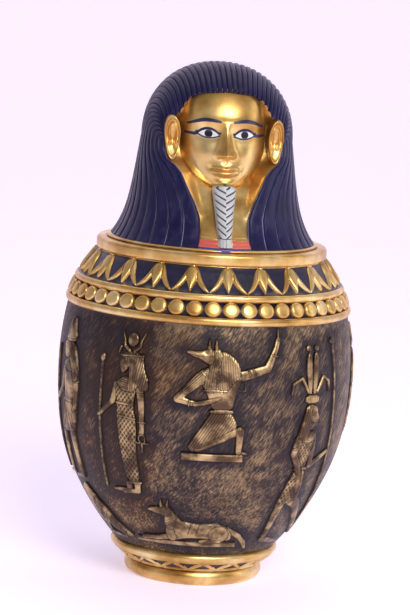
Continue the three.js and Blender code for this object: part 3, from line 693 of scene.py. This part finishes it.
def falcon(f):
    """Perched falcon with folded wings."""
    x, z = f.x, f.z
    f.limb([(1, 36), (-2, 28)], [3.4, 2.6], 1.3)
    f.limb([(-5, 27.4), (12, 27.4)], 2.4, 1.2)
    breast = f.part([(-13.2, 50.6), (-10, 54.8), (-5, 57.2), (1, 52), (6, 46.4), (8, 40), (4, 33), (-4, 34),
            (-8.4, 42), (-9.4, 48.4)], 1.9, 3.4)
    wing = f.striped([(0, 51), (6.4, 46.4), (12.4, 37), (20.4, 28.2), (13, 28.4), (3, 33), (-3, 42)], 2.1,
            (x - 4) * 0.62 + (z - 40) * 0.8, 2.1, 0.35)
    f.stripes(wing, x * 0.8 - z * 0.6, 4.2, 0.2, 5)
    f.stripes(breast, z + 0.3 * x, 1.9, 0.2)
    f.eye(breast, -8, 52.4, 1.3, 0.8, 0.35)


# Name, figure, azimuth, which way it faces, box (x from, x to, z from, z to) and cell size
FIGURES = [
    ("relief_kneeling_god", kneeling_god, -8, 1, (-26, 38, 81, 160), 0.32),
    ("relief_goddess", goddess, -42, 1, (-23, 16, 56, 154), 0.32),
    ("relief_king_left", king, -75, 1, (-26, 12, 57, 155), 0.36),
    ("relief_strider", strider, 33, 1, (-18, 36, 25, 153), 0.34),
    ("relief_king_right", king, 82, -1, (-26, 12, 57, 155), 0.36),
    ("relief_jackal", jackal, -16, 1, (-33, 36, 20.6, 61), 0.32),
    ("relief_falcon", falcon, -71, 1, (-16, 23, 25, 60), 0.36),
    ("relief_kneeling_god_back", kneeling_god, 172, -1, (-26, 38, 81, 160), 0.45),
    ("relief_king_back", king, 127, -1, (-26, 12, 57, 155), 0.45),
    ("relief_falcon_back", falcon, -132, -1, (-16, 23, 25, 60), 0.45),
    ("relief_jackal_back", jackal, 166, -1, (-33, 36, 20.6, 61), 0.45),
]


def relief_figure(name, draw, degrees, side, box, cell):
    """One figure on the wall, as a fine surface that sinks into the wall at its edge."""
    x0, x1, z0, z1 = box
    z, x = np.meshgrid(np.arange(z0, z1, cell), np.arange(x0, x1, cell), indexing="ij")
    f = Relief(x, z)
    draw(f)
    sink = 0.7
    out = np.where(f.edge < 0, np.clip(f.height, 0, RELIEF), -sink * step(f.edge, 0, 0.4))
    points = wall_point(math.radians(degrees) + side * x / wall_radius(z), z, out).reshape(-1, 3)
    fields = {"height": np.clip(f.height / 1.4, 0, 1), "line": np.clip(f.line, 0, 1)}
    points, quads, fields = keep_used(points, f.kept(grid_faces(*x.shape)[:, ::side], 0.5), fields)
    add_piece(name, points, [quads], [RELIEF_BRONZE], "jar", fields=fields)


def figure_shade_field(azimuth, z):
    """Painted shade on the wall: 1 beside a figure, falling to 0 some way off."""
    nearest = np.full(azimuth.shape, 1e9)
    reach, fade = 9, 7.5
    for _, draw, degrees, side, (x0, x1, z0, z1), _ in FIGURES:
        away = (azimuth - math.radians(degrees) + math.pi) % (2 * math.pi) - math.pi
        x = side * away * wall_radius(z)
        hit = (x > x0 - reach) & (x < x1 + reach) & (z > z0 - reach) & (z < z1 + reach)
        f = Relief(x[hit], z[hit])
        draw(f)
        nearest[hit] = np.minimum(nearest[hit], f.edge)
    return 1 - step(nearest, 0.5, fade)


# Jar body and bands

BEAD_BAND = ((80.4, 162.8), (77.0, 170.9))
FLOWER_BAND = ((75.7, 175.2), (65.9, 189.2))
ZIGZAG_BAND = ((39.8, 9.5), (46.8, 15.5))
BEADS = 49
BEAD_RISE = 2.5
FLOWERS = 22
FLOWER_TURN = math.radians(11.6)
PEAKS = 16
PEAK_TURN = math.radians(-5)


def band_point(band, azimuth, t, out):
    """A point on a sloping band: t runs from its lower edge to its upper one."""
    (r0, z0), (r1, z1) = band
    length = math.hypot(r1 - r0, z1 - z0)
    r = r0 + (r1 - r0) * t + out * (z1 - z0) / length
    z = z0 + (z1 - z0) * t - out * (r1 - r0) / length
    return polar(azimuth, r, z)


def jar_profile():
    """Zones of the turned jar, each with its material: 0 bronze, 1 gold, 2 blue ground, 3 plain resin."""
    wall_z = np.linspace(20.4, 158.8, 96)
    knots = [(55.5, 187.5), (58, 184), (70, 170), (77, 150), (79.2, 122), (76.6, 90), (69.5, 62), (56, 38),
             (39, 19), (26, 10.5)]
    lip = [arc((64.9, 191.7), (2.0, 2.5), -70, 0, 6), arc((64.9, 194.5), (2.0, 2.0), 0, 90, 8), [(60, 196.5)],
           arc((56.5, 195.5), (1, 1), 90, 180, 5)]
    return [
        (3, [(0, 0), (12, 0), (25, 0), (35.5, 0)]),
        (1, arc((36.2, 4.7), (4.2, 4.7), -85, 75, 16)),
        (2, [(38.9, 9.4), (42.4, 12.4), (45.9, 15.3)]),
        (1, arc((46.2, 18.0), (2.8, 2.6), -70, 80, 14)),
        (0, np.stack([wall_radius(wall_z), wall_z], 1)),
        (1, arc((81.1, 160.7), (2.0, 2.4), -70, 75, 12)),
        (2, [BEAD_BAND[0], (78.7, 166.9), BEAD_BAND[1]]),
        (1, arc((76.4, 173.0), (1.9, 2.3), -70, 75, 12)),
        (2, [FLOWER_BAND[0], (73.2, 178.7), (70.8, 182.2), (68.3, 185.7), FLOWER_BAND[1]]),
        (1, np.vstack(lip)),
        (3, np.vstack([[(55.5, 191)], smooth_curve(knots, 60), [(13, 10.1), (0, 10)]])),
    ]


def jar_body():
    zones = jar_profile()
    kinds = np.concatenate([np.full(len(points), kind) for kind, points in zones])
    columns = 288
    points, quads, fans = lathe(np.vstack([points for _, points in zones]), columns)
    ends = np.repeat(kinds[[0, -1]], columns)
    kinds = np.concatenate([np.repeat(kinds[2:-1], columns), ends])
    # Painted shade beside the figures, none on the foot below the wall
    halo = figure_shade_field(np.arctan2(points[:, 0], -points[:, 1]), points[:, 2])
    halo[points[:, 2] < 20] = 0
    paints = [BRONZE, GOLD, GROUND, PLAIN]
    add_piece("jar_body", points, [quads, fans], paints, "jar", kinds, {"halo": halo})


def beads():
    """Flat round beads side by side on their band."""
    rings = [(0.35, 0.99), (0.62, 0.95), (0.8, 0.87), (0.91, 0.72), (0.98, 0.48), (1.0, 0.15), (1.0, -0.25)]
    columns = 24
    turn = around(columns)
    half_across, half_up = 4.7, 4.55
    band_radius, band_length = 78.7, 8.78
    points, quads, fans = [], [], []
    for i in range(BEADS):
        tip = i * (len(rings) * columns + 1)
        azimuth = (i + 0.5) * 2 * math.pi / BEADS
        points.append(band_point(BEAD_BAND, np.array([azimuth]), 0.5, BEAD_RISE))
        for grow, rise in rings:
            x, y = half_across * grow * np.cos(turn), half_up * grow * np.sin(turn)
            spot = azimuth + x / band_radius, 0.5 + y / band_length
            points.append(band_point(BEAD_BAND, *spot, BEAD_RISE * rise))
        quads.append(grid_faces(len(rings), columns, wrap=True, offset=tip + 1)[:, ::-1])
        fans.append(fan(tip, tip + 1, columns))
    add_piece("beads", np.vstack(points), [np.vstack(quads), np.vstack(fans)], [GOLD], "jar")


def flower_field(x, y):
    """Lotus flower hanging from the rim: x across and y up the band, both in millimetres."""
    f = Relief(x, y)
    petal = [(1.2, 16.8), (3.2, 15.6), (4.6, 12.8), (5.7, 9.6), (7.4, 6.2), (9.3, 3.0), (10.9, 0.7),
            (10.2, 0.4), (7.4, 1.9), (5.2, 4.2), (3.2, 7.4), (2.2, 10.6), (1.0, 14.4)]
    for side in (-1, 1):
        f.part([(side * a, b) for a, b in petal], 1.5, 1.9, 0.7)
    half = [(0, 0.2), (1.1, 2.8), (2.3, 5.8), (3.2, 8.8), (3.4, 11.6), (2.8, 14.6), (1.3, 16.4)]
    f.part(half + [(-a, b) for a, b in half[:0:-1]], 1.9, 2.6, 0.9)
    f.oval((0, 16.4), 1.9, 1.0, 1.7, 0.7)
    return f


def repeated_relief(name, band, field, count, turn, width, sink):
    """One raised ornament repeated round a sloping band."""
    (r0, z0), (r1, z1) = band
    length = math.hypot(r1 - r0, z1 - z0)
    cell = 0.4
    across = np.arange(-width / 2, width / 2 + cell, cell)
    y, x = np.meshgrid(np.arange(-0.6, length + 0.6, cell), across, indexing="ij")
    f = field(x, y)
    out = np.where(f.edge < 0, f.height, -sink * step(f.edge, 0, 0.35))
    azimuth = turn + 2 * math.pi / count * x / width
    one = band_point(band, azimuth, y / length, out).reshape(-1, 3)
    one, quads, fields = keep_used(one, f.kept(grid_faces(*x.shape), 0.45), {"line": f.line})
    points = np.vstack([turned(one, i * 2 * math.pi / count) for i in range(count)])
    quads = np.vstack([quads + i * len(one) for i in range(count)])
    fields = {"line": np.tile(fields["line"], count)}
    add_piece(name, points, [quads], [GOLD], "jar", fields=fields)


def zigzag_field(x, y):
    """One peak of the gold zigzag on the foot."""
    f = Relief(x, y)
    f.limb([(-8.6, 0.6), (0, 8.4), (8.6, 0.6)], 1.9, 0.85, 0.4)
    f.limb([(-8.6, 0.2), (8.6, 0.2)], 1.0, 0.7, 0.4)
    f.limb([(-8.6, 8.9), (8.6, 8.9)], 1.0, 0.7, 0.4)
    return f


# Wig

EAR_LEVEL = 256
WIG_BASE = 198.4
WIG_HALF = 43.8
STRANDS = 22
TEMPLE_SHARE = 0.35
WIG_POWER = 2.15
# Height and half width of the opening for the face and neck
WIG_OPENING = [
    (198.0, 14.0), (207, 13.5), (215, 13.7), (221, 16), (229, 20), (238, 24.4), (242, 28), (245, 32.5),
    (249, 34), (264, 34), (268, 31), (271.5, 26.6), (277, 23.7), (280.5, 20.6), (283.4, 14), (284.4, 0),
]


def wig_section(z):
    """Half width, half depth and middle of the wig at a height."""
    up = np.clip((z - EAR_LEVEL) / 44, 0, 1)
    down = np.clip((EAR_LEVEL - z) / 57.6, 0, None)
    crown = WIG_HALF * (1 - up**WIG_POWER) ** (1 / WIG_POWER)
    half = np.where(z >= EAR_LEVEL, crown, WIG_HALF + 8 * down + 7.1 * down ** 5)
    depth = half * (1.05 - 0.05 * down)
    return half, depth, 7 * (1 - down ** 2)


def opening_half(z):
    return np.interp(z, *zip(*WIG_OPENING))


def inside_wig(p):
    half, depth, y = wig_section(p[..., 2])
    across = np.abs(p[..., 0] / np.maximum(half, 1e-6)) ** WIG_POWER
    return across + np.abs((p[..., 1] - y) / np.maximum(depth, 1e-6)) ** WIG_POWER <= 1


def wig_surface(start, way):
    """Where rays from inside the head leave the wig."""
    near = np.zeros(way.shape[:-1])
    far = np.full(way.shape[:-1], 130.0)
    for _ in range(34):
        middle = (near + far) / 2
        inside = inside_wig(start + way * middle[..., None])
        near = np.where(inside, middle, near)
        far = np.where(inside, far, middle)
    return start + way * near[..., None]


def wig_front(x, z):
    """How far the wig's front stands before its own axis."""
    half, depth, _ = wig_section(z)
    return depth * np.clip(1 - np.abs(x / half) ** WIG_POWER, 0, 1) ** (1 / WIG_POWER)


def lappet_edge(z):
    """Angle from the front, in degrees, of the hair's inner edge beside the neck and jaw."""
    x = opening_half(z)
    return np.degrees(np.arctan2(x, wig_front(x, z))) + 0.3


def even_edge(z):
    """The same angle without its turns beside the ear, for the strands behind the innermost one."""
    t = np.clip((z - WIG_BASE) / (EAR_LEVEL - WIG_BASE), 0, 1)
    base, ear_edge = lappet_edge(WIG_BASE), lappet_edge(EAR_LEVEL)
    return base + (ear_edge - base) * (1 - (1 - t ** 3) ** 2)


def wig_path(c, s):
    """A strand's path for each c, 0 at the inner edge and 1 at the middle.

    s runs from 0 to 1 up the side or back, from 1 to 3 over the crown and from 3 to 4 down the front.
    """
    over = np.clip((s - 1) / 2, 0, 1) * math.pi
    rising, falling = s < 1, s > 3
    z = np.where(rising, WIG_BASE + (EAR_LEVEL - WIG_BASE) * np.clip(s, 0, 1),
                 EAR_LEVEL - (EAR_LEVEL - WIG_BASE) * np.clip(s - 3, 0, 1))
    edge = lappet_edge(z)
    ear_edge = lappet_edge(EAR_LEVEL)
    behind = ear_edge + c * (180 - ear_edge) + (even_edge(z) - ear_edge) * (1 - c) ** 3
    behind = behind + (edge - even_edge(z)) * (1 - c) ** 14
    before = edge * np.clip((1 - c) / (1 - TEMPLE_SHARE), 0, 1)
    behind, before = polar(np.radians(behind), 1, 0), polar(np.radians(before), 1, 0)
    middle, reach = (behind + before) / 2, (behind - before) / 2
    crown_way = middle + reach * np.cos(over)[..., None]
    crown_way[..., 2] = np.linalg.norm(reach, axis=-1) * np.sin(over)
    crown_way /= np.linalg.norm(crown_way, axis=-1, keepdims=True) + 1e-9
    level = rising | falling
    start = np.stack([0 * z, np.where(level, wig_section(z)[2], 7), np.where(level, z, EAR_LEVEL)], -1)
    way = np.where(rising[..., None], behind, np.where(falling[..., None], before, crown_way))
    return wig_surface(start, way)


def in_opening(p, s):
    return (p[..., 1] < -12) & (s > 1.05) & (p[..., 0] < opening_half(p[..., 2]))


def strand_ends(c):
    """How far along its path each strand runs before it meets the opening for the face."""
    s_line = np.linspace(0, 4, 401)
    cc, ss = np.meshgrid(c, s_line)
    cut = in_opening(wig_path(cc, ss), ss)
    first = np.where(cut.any(0), cut.argmax(0), len(s_line) - 1)
    low, high = s_line[np.maximum(first - 1, 0)], s_line[first]
    for _ in range(18):
        middle = (low + high) / 2
        inside = in_opening(wig_path(c, middle), middle)
        low, high = np.where(inside, low, middle), np.where(inside, middle, high)
    return np.where(cut.any(0), low, 3.0)


def wig():
    """Strands with lines between them, each half a mirror of the other."""
    within = np.array([0, 0.03, 0.07, 0.14, 0.26, 0.42, 0.58, 0.74, 0.86, 0.93, 0.97])
    c = np.append((np.arange(STRANDS)[:, None] + within).ravel() / STRANDS, 1.0)
    offset = np.append(np.tile(within, STRANDS), 0.0)
    groove = bump_at(np.minimum(offset, 1 - offset), 0.05)
    belly = np.sin(math.pi * offset) ** 0.7

    rows, groove_depth, full_gap = 200, 1.1, 0.16
    s = np.linspace(0, 1, rows)[:, None] * strand_ends(c)[None, :]
    surface = wig_path(np.broadcast_to(c, s.shape), s)
    down, across = np.gradient(surface, axis=(0, 1))
    normal = np.cross(down, across)
    normal /= np.linalg.norm(normal, axis=-1, keepdims=True) + 1e-9
    normal *= np.sign(((surface - np.array([0, 7, 250.0])) * normal).sum(-1, keepdims=True))
    depth = groove_depth * np.clip(np.linalg.norm(across, axis=-1) / full_gap, 0.12, 1)
    ridge = 0.25 + 0.45 * step(surface[..., 2], 245, 268)
    sunk = surface - np.nan_to_num(normal) * (depth * (groove + ridge * (1 - belly)))[..., None]

    # The edges turn straight back, towards +Y
    back = np.array([1.0, 3.5, 8.0])
    side = np.pad(sunk, ((0, 3), (3, 0), (0, 0)), "edge")
    down_edge = np.append(np.zeros(rows), back)[:, None]
    side_edge = np.append(back[::-1], np.zeros(len(c)))
    side[..., 1] += np.maximum(side_edge, down_edge)
    field = np.where(down_edge > 0, 0, np.append(np.zeros(3), groove))
    points = np.concatenate([side.reshape(-1, 3), side.reshape(-1, 3) * [-1, 1, 1]])
    faces = grid_faces(*side.shape[:2])
    faces = np.vstack([faces[:, ::-1], faces + side.shape[0] * side.shape[1]])
    fields = {"groove": np.tile(field.ravel(), 2)}
    add_piece("wig", points, [faces], [HAIR], "lid", fields=fields)


# Head

HEAD_AXIS_Y = -12.0
# Height, half width, front, and how much the line lifts towards the ears
HEAD_LINES = [
    (233.0, 6, 6, 8), (231.4, 12, 14, 10), (230.4, 16.5, 20, 10), (230.2, 19.2, 23.8, 10),
    (231.4, 20.4, 25.6, 9.6), (233.6, 21.2, 26.4, 8.8), (236.5, 22.2, 26.8, 7), (240, 23.0, 26.6, 5),
    (244, 23.8, 26.3, 3), (249, 24.4, 26.1, 1.2), (254, 24.8, 25.6, 0), (261, 25.1, 24.8, 0),
    (268, 25, 23.8, 0), (275, 24.6, 21.6, 0), (281, 23.6, 18.6, 0), (286, 22, 15.2, 0),
]
# Amount, then middle and spread across, middle and spread up, of the face's soft forms
FACE_FORMS = [
    (-2.3, 10.0, 6.0, 261.2, 4.0), (1.0, 13.5, 7, 250.5, 6), (0.9, 0, 3.2, 266, 4),
    (-1.0, 2.5, 1.2, 247.6, 0.8), (-0.5, 0, 1.2, 245.2, 1.5), (1.6, 0, 7.0, 241, 5),
    (-0.8, 0, 5, 236.2, 1.5), (1.5, 0, 6, 233, 2.8),
]
# Height, half width and front of the neck and the breast below it
NECK_LINES = [
    (196.9, 36, 49.5), (198.5, 36, 49.1), (200.5, 36, 46.6), (203, 36, 43.2), (207, 36, 38.6),
    (211, 35.6, 34.6), (215, 35, 31.4), (222, 32, 26.4), (229, 30, 21.5), (238, 28, 15), (252, 27, 8),
    (272, 26, 6), (286, 25, 5),
]
NECK_BEHIND_HAIR = 3.4
EYE_X = 10.3
EYE_HALF = 5.5
NOSE_Z = 249.4


def almond(x, z):
    """Distance to the edge of the open eye."""
    across = (x - EYE_X) / EYE_HALF
    rise = (1 - np.clip(across, -1, 1) ** 2) ** 0.9
    up = z - 260.5 - 0.25 * across
    return 0.85 * np.maximum(np.maximum(up - 2.5 * rise, -up - 1.5 * rise), (np.abs(across) - 1) * EYE_HALF)


def brow_line(x):
    bow = 0.9 * np.sin(np.clip((x - 3) / 17, 0, 1) * math.pi)
    return 267.6 + bow - 0.06 * np.clip(x - 12, 0, None) ** 1.5


def face_fields(x, z):
    """Painted lines of the face."""
    x = np.abs(x)
    eye = almond(x, z)
    tail = limb_distance(x, z, [(15.2, 260.9), (18, 260.3), (22.3, 260.6)], [1.8, 1.9, 1.4])
    inner = limb_distance(x, z, [(5.2, 260.2), (4.0, 259.4)], [1.3, 0.6])
    kohl = np.minimum(np.minimum(eye - np.where(z > 260.4, 1.25, 0.9), tail), inner)
    along = np.clip((x - 3.4) / 18.4, 0, 1)
    half = 1.1 * np.sin(math.pi * (0.12 + 0.8 * along)) ** 0.6
    brow = np.maximum(np.abs(z - brow_line(x)) - half, np.maximum(3.4 - x, x - 21.8))
    iris = np.maximum(np.hypot(x - EYE_X, z - 260.9) - 2.2, eye)
    return {"kohl": kohl, "brow": brow, "white": eye, "iris": iris}


def face_relief(x, z):
    """Forms of a calm, even face, standing out from the plain head."""
    x = np.abs(x)
    out = 1.1 * bump_at(x - 9.5, 9.0) * bump_at(z - brow_line(x) + 0.2, 2.0)
    for amount, at_x, wide, at_z, tall in FACE_FORMS:
        out += amount * bump_at(x - at_x, wide) * bump_at(z - at_z, tall)
    eye = almond(x, z)
    ball = np.sqrt(np.clip(1 - ((x - EYE_X) / 6.2) ** 2 - ((z - 260.6) / 4.6) ** 2, 0, None))
    out += 1.7 * ball * step(-eye, -1.4, 0.6)
    out += np.where(z > 259.6, 0.55 * bump_at(eye - 0.25, 0.5), 0.3 * bump_at(eye - 0.2, 0.5))
    t = np.clip((266.5 - z) / 17.0, 0, 1)
    fall = np.where(z > NOSE_Z, t**1.15, bump_at(NOSE_Z - z, 1.9))
    out += 7.8 * fall * bump_at(x, 2.5 + 1.1 * step(t, 0.45, 1.0)) * (z < 267)
    out += 2.0 * np.exp(-(np.hypot((x - 3.7) / 2.0, (z - 249.3) / 1.9) ** 2.2))
    mouth = 241.0 - 0.35 * bump_at(x, 2.2) + 0.012 * x**2
    lip = np.sqrt(np.clip(1 - (x / 8.2) ** 2, 0, None))
    upper_top = mouth + 2.5 * lip - 0.5 * bump_at(x, 1.1)
    out += 1.5 * lip * step(upper_top - z, -0.2, 1.2) * step(z - mouth, -0.2, 0.6)
    out += 1.9 * lip**0.8 * bump_at(z - mouth + 1.7, 1.5)
    out -= 0.9 * bump_at(z - mouth, 0.45) * step(8.8 - x, 0, 1.4)
    return out - 0.6 * bump_at(x - 8.6, 1.2) * bump_at(z - mouth, 1.2)


def painted(shape, **fields):
    """Values for the face's paint, plain gold where no field is given."""
    return {key: fields.get(key, np.full(shape, UNPAINTED)) for key in FACE_FIELDS}


def lid_grid(name, points, material, fields, wrap=False, flip=False):
    """A piece of the lid from a grid of points."""
    faces = grid_faces(*points.shape[:2], wrap)
    faces = faces[:, ::-1] if flip else faces
    add_piece(name, points.reshape(-1, 3), [faces], [material], "lid", fields=fields)


def head():
    """Front half of the head, with the face's forms and painted lines."""
    lines = smooth_curve(HEAD_LINES, 300)[:, :, None]
    u = np.linspace(-1, 1, 171)[None, :]
    a = u * math.pi / 2
    z = lines[:, 0] + lines[:, 3] * np.sin(a) ** 2
    x = lines[:, 1] * np.sin(a)
    y = HEAD_AXIS_Y - (lines[:, 2] + face_relief(x, z)) * np.cos(a) ** 0.92
    fields = {key: np.where(np.abs(u) > 0.88, UNPAINTED, value) for key, value in face_fields(x, z).items()}
    lid_grid("head", np.stack([x, y, z], -1), FACE, painted(x.shape, **fields))


def neck():
    """Neck and breast, rising to the hair's edges beside it, with a striped collar painted on."""
    lines = smooth_curve(NECK_LINES, 190)[:, :, None]
    u = np.linspace(-1, 1, 141)[None, :]
    edge = opening_half(lines[:, 0])
    x = u * (edge + 1.5)
    z = lines[:, 0] + 0 * x
    middle = HEAD_AXIS_Y - lines[:, 2] * np.sqrt(np.clip(1 - (x / lines[:, 1]) ** 2, 0.01, 1))
    beside = wig_section(z)[2] - wig_front(edge, z) + NECK_BEHIND_HAIR
    rising = step(np.abs(u), 0.6, 0.95) * step(z, 199, 228)
    y = middle + (np.minimum(beside, middle) - middle) * rising
    groove = bump_at(z - 204.8, 0.35) + bump_at(z - 201.0, 0.2) + bump_at(z - 202.9, 0.25)
    red = np.abs(np.abs(z - 201.0) - 0.95) - 0.75
    fields = painted(x.shape, red=red, indigo=z - 199.1)
    lid_grid("neck", np.stack([x, y + 0.35 * groove, z], -1), FACE, fields)


# The ear's inner and outer edge, each x and y, and its middle's height
EAR_INNER, EAR_OUTER, EAR_Z = (24.6, -27.6), (34.8, -24.0), 257.0


def ear(side):
    """Ear with a rolled rim, a hollow and a lobe, standing out beside the face."""
    grow, turn = np.meshgrid(np.linspace(0, 1, 60), around(48), indexing="ij")
    u = grow * (5.3 + 1.3 * np.sin(turn)) * np.cos(turn)
    v = grow * 13.6 * np.sin(turn)

    def spot(at_u, wide, at_v, tall):
        return np.hypot((u - at_u) / wide, (v - at_v) / tall)

    rim = bump_at(grow - 0.86, 0.085) * (1 - 0.85 * bump_at(turn - math.pi, 0.7) * (v > -9))
    bowl = bump_at(spot(-1.0, 3.0, -0.6, 5.0), 1.0)
    groove = bump_at(grow - 0.64, 0.12) * step(v, -4, 0)
    fold = bump_at(spot(-0.4, 2.7, 1.0, 7.4) - 1, 0.22) * step(v, -6, -2)
    lobe = bump_at(spot(0, 3.0, -10.4, 3.0), 1.0)
    notch = bump_at(spot(-4.0, 1.5, -1.4, 2.4), 1.0)
    out = 0.9 + 1.7 * rim - 2.8 * bowl - 0.9 * groove + 1.1 * fold + 0.9 * lobe + 1.3 * notch
    out -= 9.5 * step(grow, 0.9, 1.0)
    along = (u / 5.8 + 1) / 2
    x = side * (EAR_INNER[0] + (EAR_OUTER[0] - EAR_INNER[0]) * along)
    y = EAR_INNER[1] + (EAR_OUTER[1] - EAR_INNER[1]) * along - out
    points = np.stack([x, y, EAR_Z + v + 0.25 * u], -1)
    name = "ear_left" if side > 0 else "ear_right"
    lid_grid(name, points, FACE, painted(x.shape), wrap=True, flip=side < 0)


BEARD_TOP, BEARD_LENGTH, BEARD_FRONT = 232.4, 32.8, -41.5


def beard():
    """Plaited beard that widens at its squared end."""
    t, u = np.meshgrid(np.linspace(0, 1, 200), np.linspace(-1, 1, 61), indexing="ij")
    plait_end = 0.86
    half = np.where(t < plait_end, 7.5 - 3.4 * (t / plait_end) ** 0.8, 4.1 + 0.7 * step(t, plait_end, 1.0))
    half *= np.sqrt(np.clip(1 - (1 - np.clip(t / 0.07, 0, 1)) ** 2, 0.02, 1))
    a = u * math.pi / 2
    tooth = (t / plait_end * 7.5 + np.abs(u) * 1.25 + 0.5 * (u > 0)) % 1
    across = step(1 - np.abs(u), 0.1, 0.45)
    gap = bump_at(np.minimum(tooth, 1 - tooth), 0.15) * across
    cords = np.abs(np.sin(u * math.pi * 3.5)) ** 0.5
    out = np.where(t < plait_end, 1.2 * np.sin(math.pi * tooth) ** 0.6 * across, 0.5 * cords - 0.1)
    line = np.where(t < plait_end, gap, 0.7 * (1 - cords))
    line = np.maximum(line, 0.8 * bump_at(t - plait_end, 0.01))
    y = BEARD_FRONT - 17.5 * t**1.3 - 3.2 * np.cos(a) ** 0.8 - out + 4 * (1 - np.cos(a))
    points = np.stack([half * np.sin(a), y, BEARD_TOP - BEARD_LENGTH * t], -1)
    points = np.concatenate([points, points[-1:] + [0, 4.5, 0]])
    lid_grid("beard", points, BEARD, {"line": np.pad(line, ((0, 1), (0, 0)))}, flip=True)


def lid_shell():
    """Gold flange on the rim, the spigot in the mouth, and the hollow inside the head."""
    outside = [(50, 198.5), (60.7, 198.1), (61.4, 197.6), (61.4, 197.1), (60.8, 196.7), (54.2, 196.6),
            (54.2, 190), (52.4, 188.5), (49, 188.5), (49, 188.5)]
    sections = [(199, 0, 49, 49), (204.5, 8, 46, 41), (212, 17, 42, 32), (232, 19.5, 40, 28.5),
            (256, 19, 37.5, 28), (274, 17, 32, 25), (284, 14, 21, 18), (289, 12, 9, 8),
            (289.2, 12, 0.2, 0.2)]
    columns = 96
    turn = around(columns)
    rings = [polar(turn, r, z) for r, z in outside]
    rings += [polar(turn, 1, z) * [a, b, 1] + [0, y, 0] for z, y, a, b in smooth_curve(sections, 50)]
    faces = grid_faces(len(rings), columns, wrap=True)[:, ::-1]
    kinds = np.repeat(np.where(np.arange(len(rings) - 1) < 4, 0, 1), columns)
    add_piece("lid_shell", np.vstack(rings), [faces], [GOLD, PLAIN], "lid", kinds)


# Stage, light and camera

def floor():
    """Pale floor that sweeps up behind the jar."""
    half_width, r = 5.0, 1.2
    bend = [(1.4 + r * math.sin(a), r - r * math.cos(a)) for a in np.linspace(0, math.pi / 2, 24)]
    line = [(-half_width, 0.0)] + bend + [(2.6, 4.0)]
    points = np.array([(side * half_width, y, z) for y, z in line for side in (-1, 1)])
    mesh = bpy.data.meshes.new("floor")
    mesh.from_pydata(turned(points, VIEW_TURN).tolist(), [], grid_faces(len(line), 2).tolist())
    mesh.shade_smooth()
    mesh.materials.append(floor_paint())
    piece = add_object("floor", mesh)


def world():
    """Pale surroundings, brighter behind the jar than before it."""
    new = bpy.data.worlds.new("studio")
    bpy.context.scene.world = new
    new.use_nodes = True
    nodes = new.node_tree.nodes
    place = nodes.new("ShaderNodeTexCoord").outputs["Generated"]
    behind = fed(nodes.new("ShaderNodeSeparateXYZ"), {0: place}).outputs["Y"]
    span = nodes.new("ShaderNodeMapRange")
    span.interpolation_type = "SMOOTHSTEP"
    fed(span, {"Value": behind, "From Min": -0.35, "From Max": 0.75})
    shade = nodes.new("ShaderNodeMix")
    shade.data_type = "RGBA"
    fed(shade, {0: span.outputs["Result"], 6: (0.10, 0.095, 0.11, 1), 7: (0.40, 0.37, 0.42, 1)})
    fed(nodes["Background"], {"Color": shade.outputs[2]})


MIDDLE = (0, 0, 0.15)
# Name, place and target as seen by the camera (x to its right, y away from it), size, power and colour
LIGHTS = [
    ("key", (0.5, -1.5, 1.1), MIDDLE, (0.9, 0.7), 28, (1.0, 0.97, 0.92)),
    ("fill_left", (-1.5, -0.7, 0.7), MIDDLE, (0.8, 1.2), 1.2, (1.0, 0.93, 0.90)),
    ("fill_right", (1.5, -0.1, 0.6), MIDDLE, (0.6, 1.2), 4, (1.0, 0.97, 0.95)),
    ("top", (0.0, 0.3, 1.7), MIDDLE, (1.4, 1.4), 2.5, (1.0, 0.98, 1.0)),
    ("backdrop", (0.0, 0.9, 2.4), (0, 2.4, 0.6), (3.0, 1.0), 14, (1.0, 0.94, 1.0)),
]


def soft_light(name, place, target, size, power, colour):
    light = bpy.data.lights.new(name, "AREA")
    light.shape = "RECTANGLE"
    light.size, light.size_y = size
    light.energy = power
    light.color = colour
    turn = Matrix.Rotation(VIEW_TURN, 3, "Z")
    holder = add_object(name, light)
    holder.location = turn @ Vector(place)
    holder.rotation_euler = (turn @ (Vector(target) - Vector(place))).to_track_quat("-Z", "Y").to_euler()


def camera():
    """Camera at the photograph's angle, a little to the side of where the face looks and a little above."""
    pitch, roll = math.radians(8.15), math.radians(3.51)
    data = bpy.data.cameras.new("camera")
    data.sensor_width = 36
    focal_pixels, picture_pixels = 2519, 615
    data.lens = focal_pixels / picture_pixels * data.sensor_width
    data.clip_end = 50
    holder = add_object("camera", data)
    tilt = Matrix.Rotation(math.pi / 2 - pitch, 4, "X") @ Matrix.Rotation(roll, 4, "Z")
    place = Matrix.Translation((-0.0017, -1.454, 0.365))
    holder.matrix_world = Matrix.Rotation(VIEW_TURN, 4, "Z") @ place @ tilt
    bpy.context.scene.camera = holder


jar_body()
beads()
repeated_relief("flowers", FLOWER_BAND, flower_field, FLOWERS, FLOWER_TURN, 21.4, 0.6)
repeated_relief("foot_zigzag", ZIGZAG_BAND, zigzag_field, PEAKS, PEAK_TURN, 17.0, 0.5)
for figure in FIGURES:
    relief_figure(*figure)
wig()
head()
neck()
ear(1)
ear(-1)
beard()
lid_shell()
floor()
world()
for light in LIGHTS:
    soft_light(*light)
camera()
bpy.context.scene.view_settings.view_transform = "Standard"
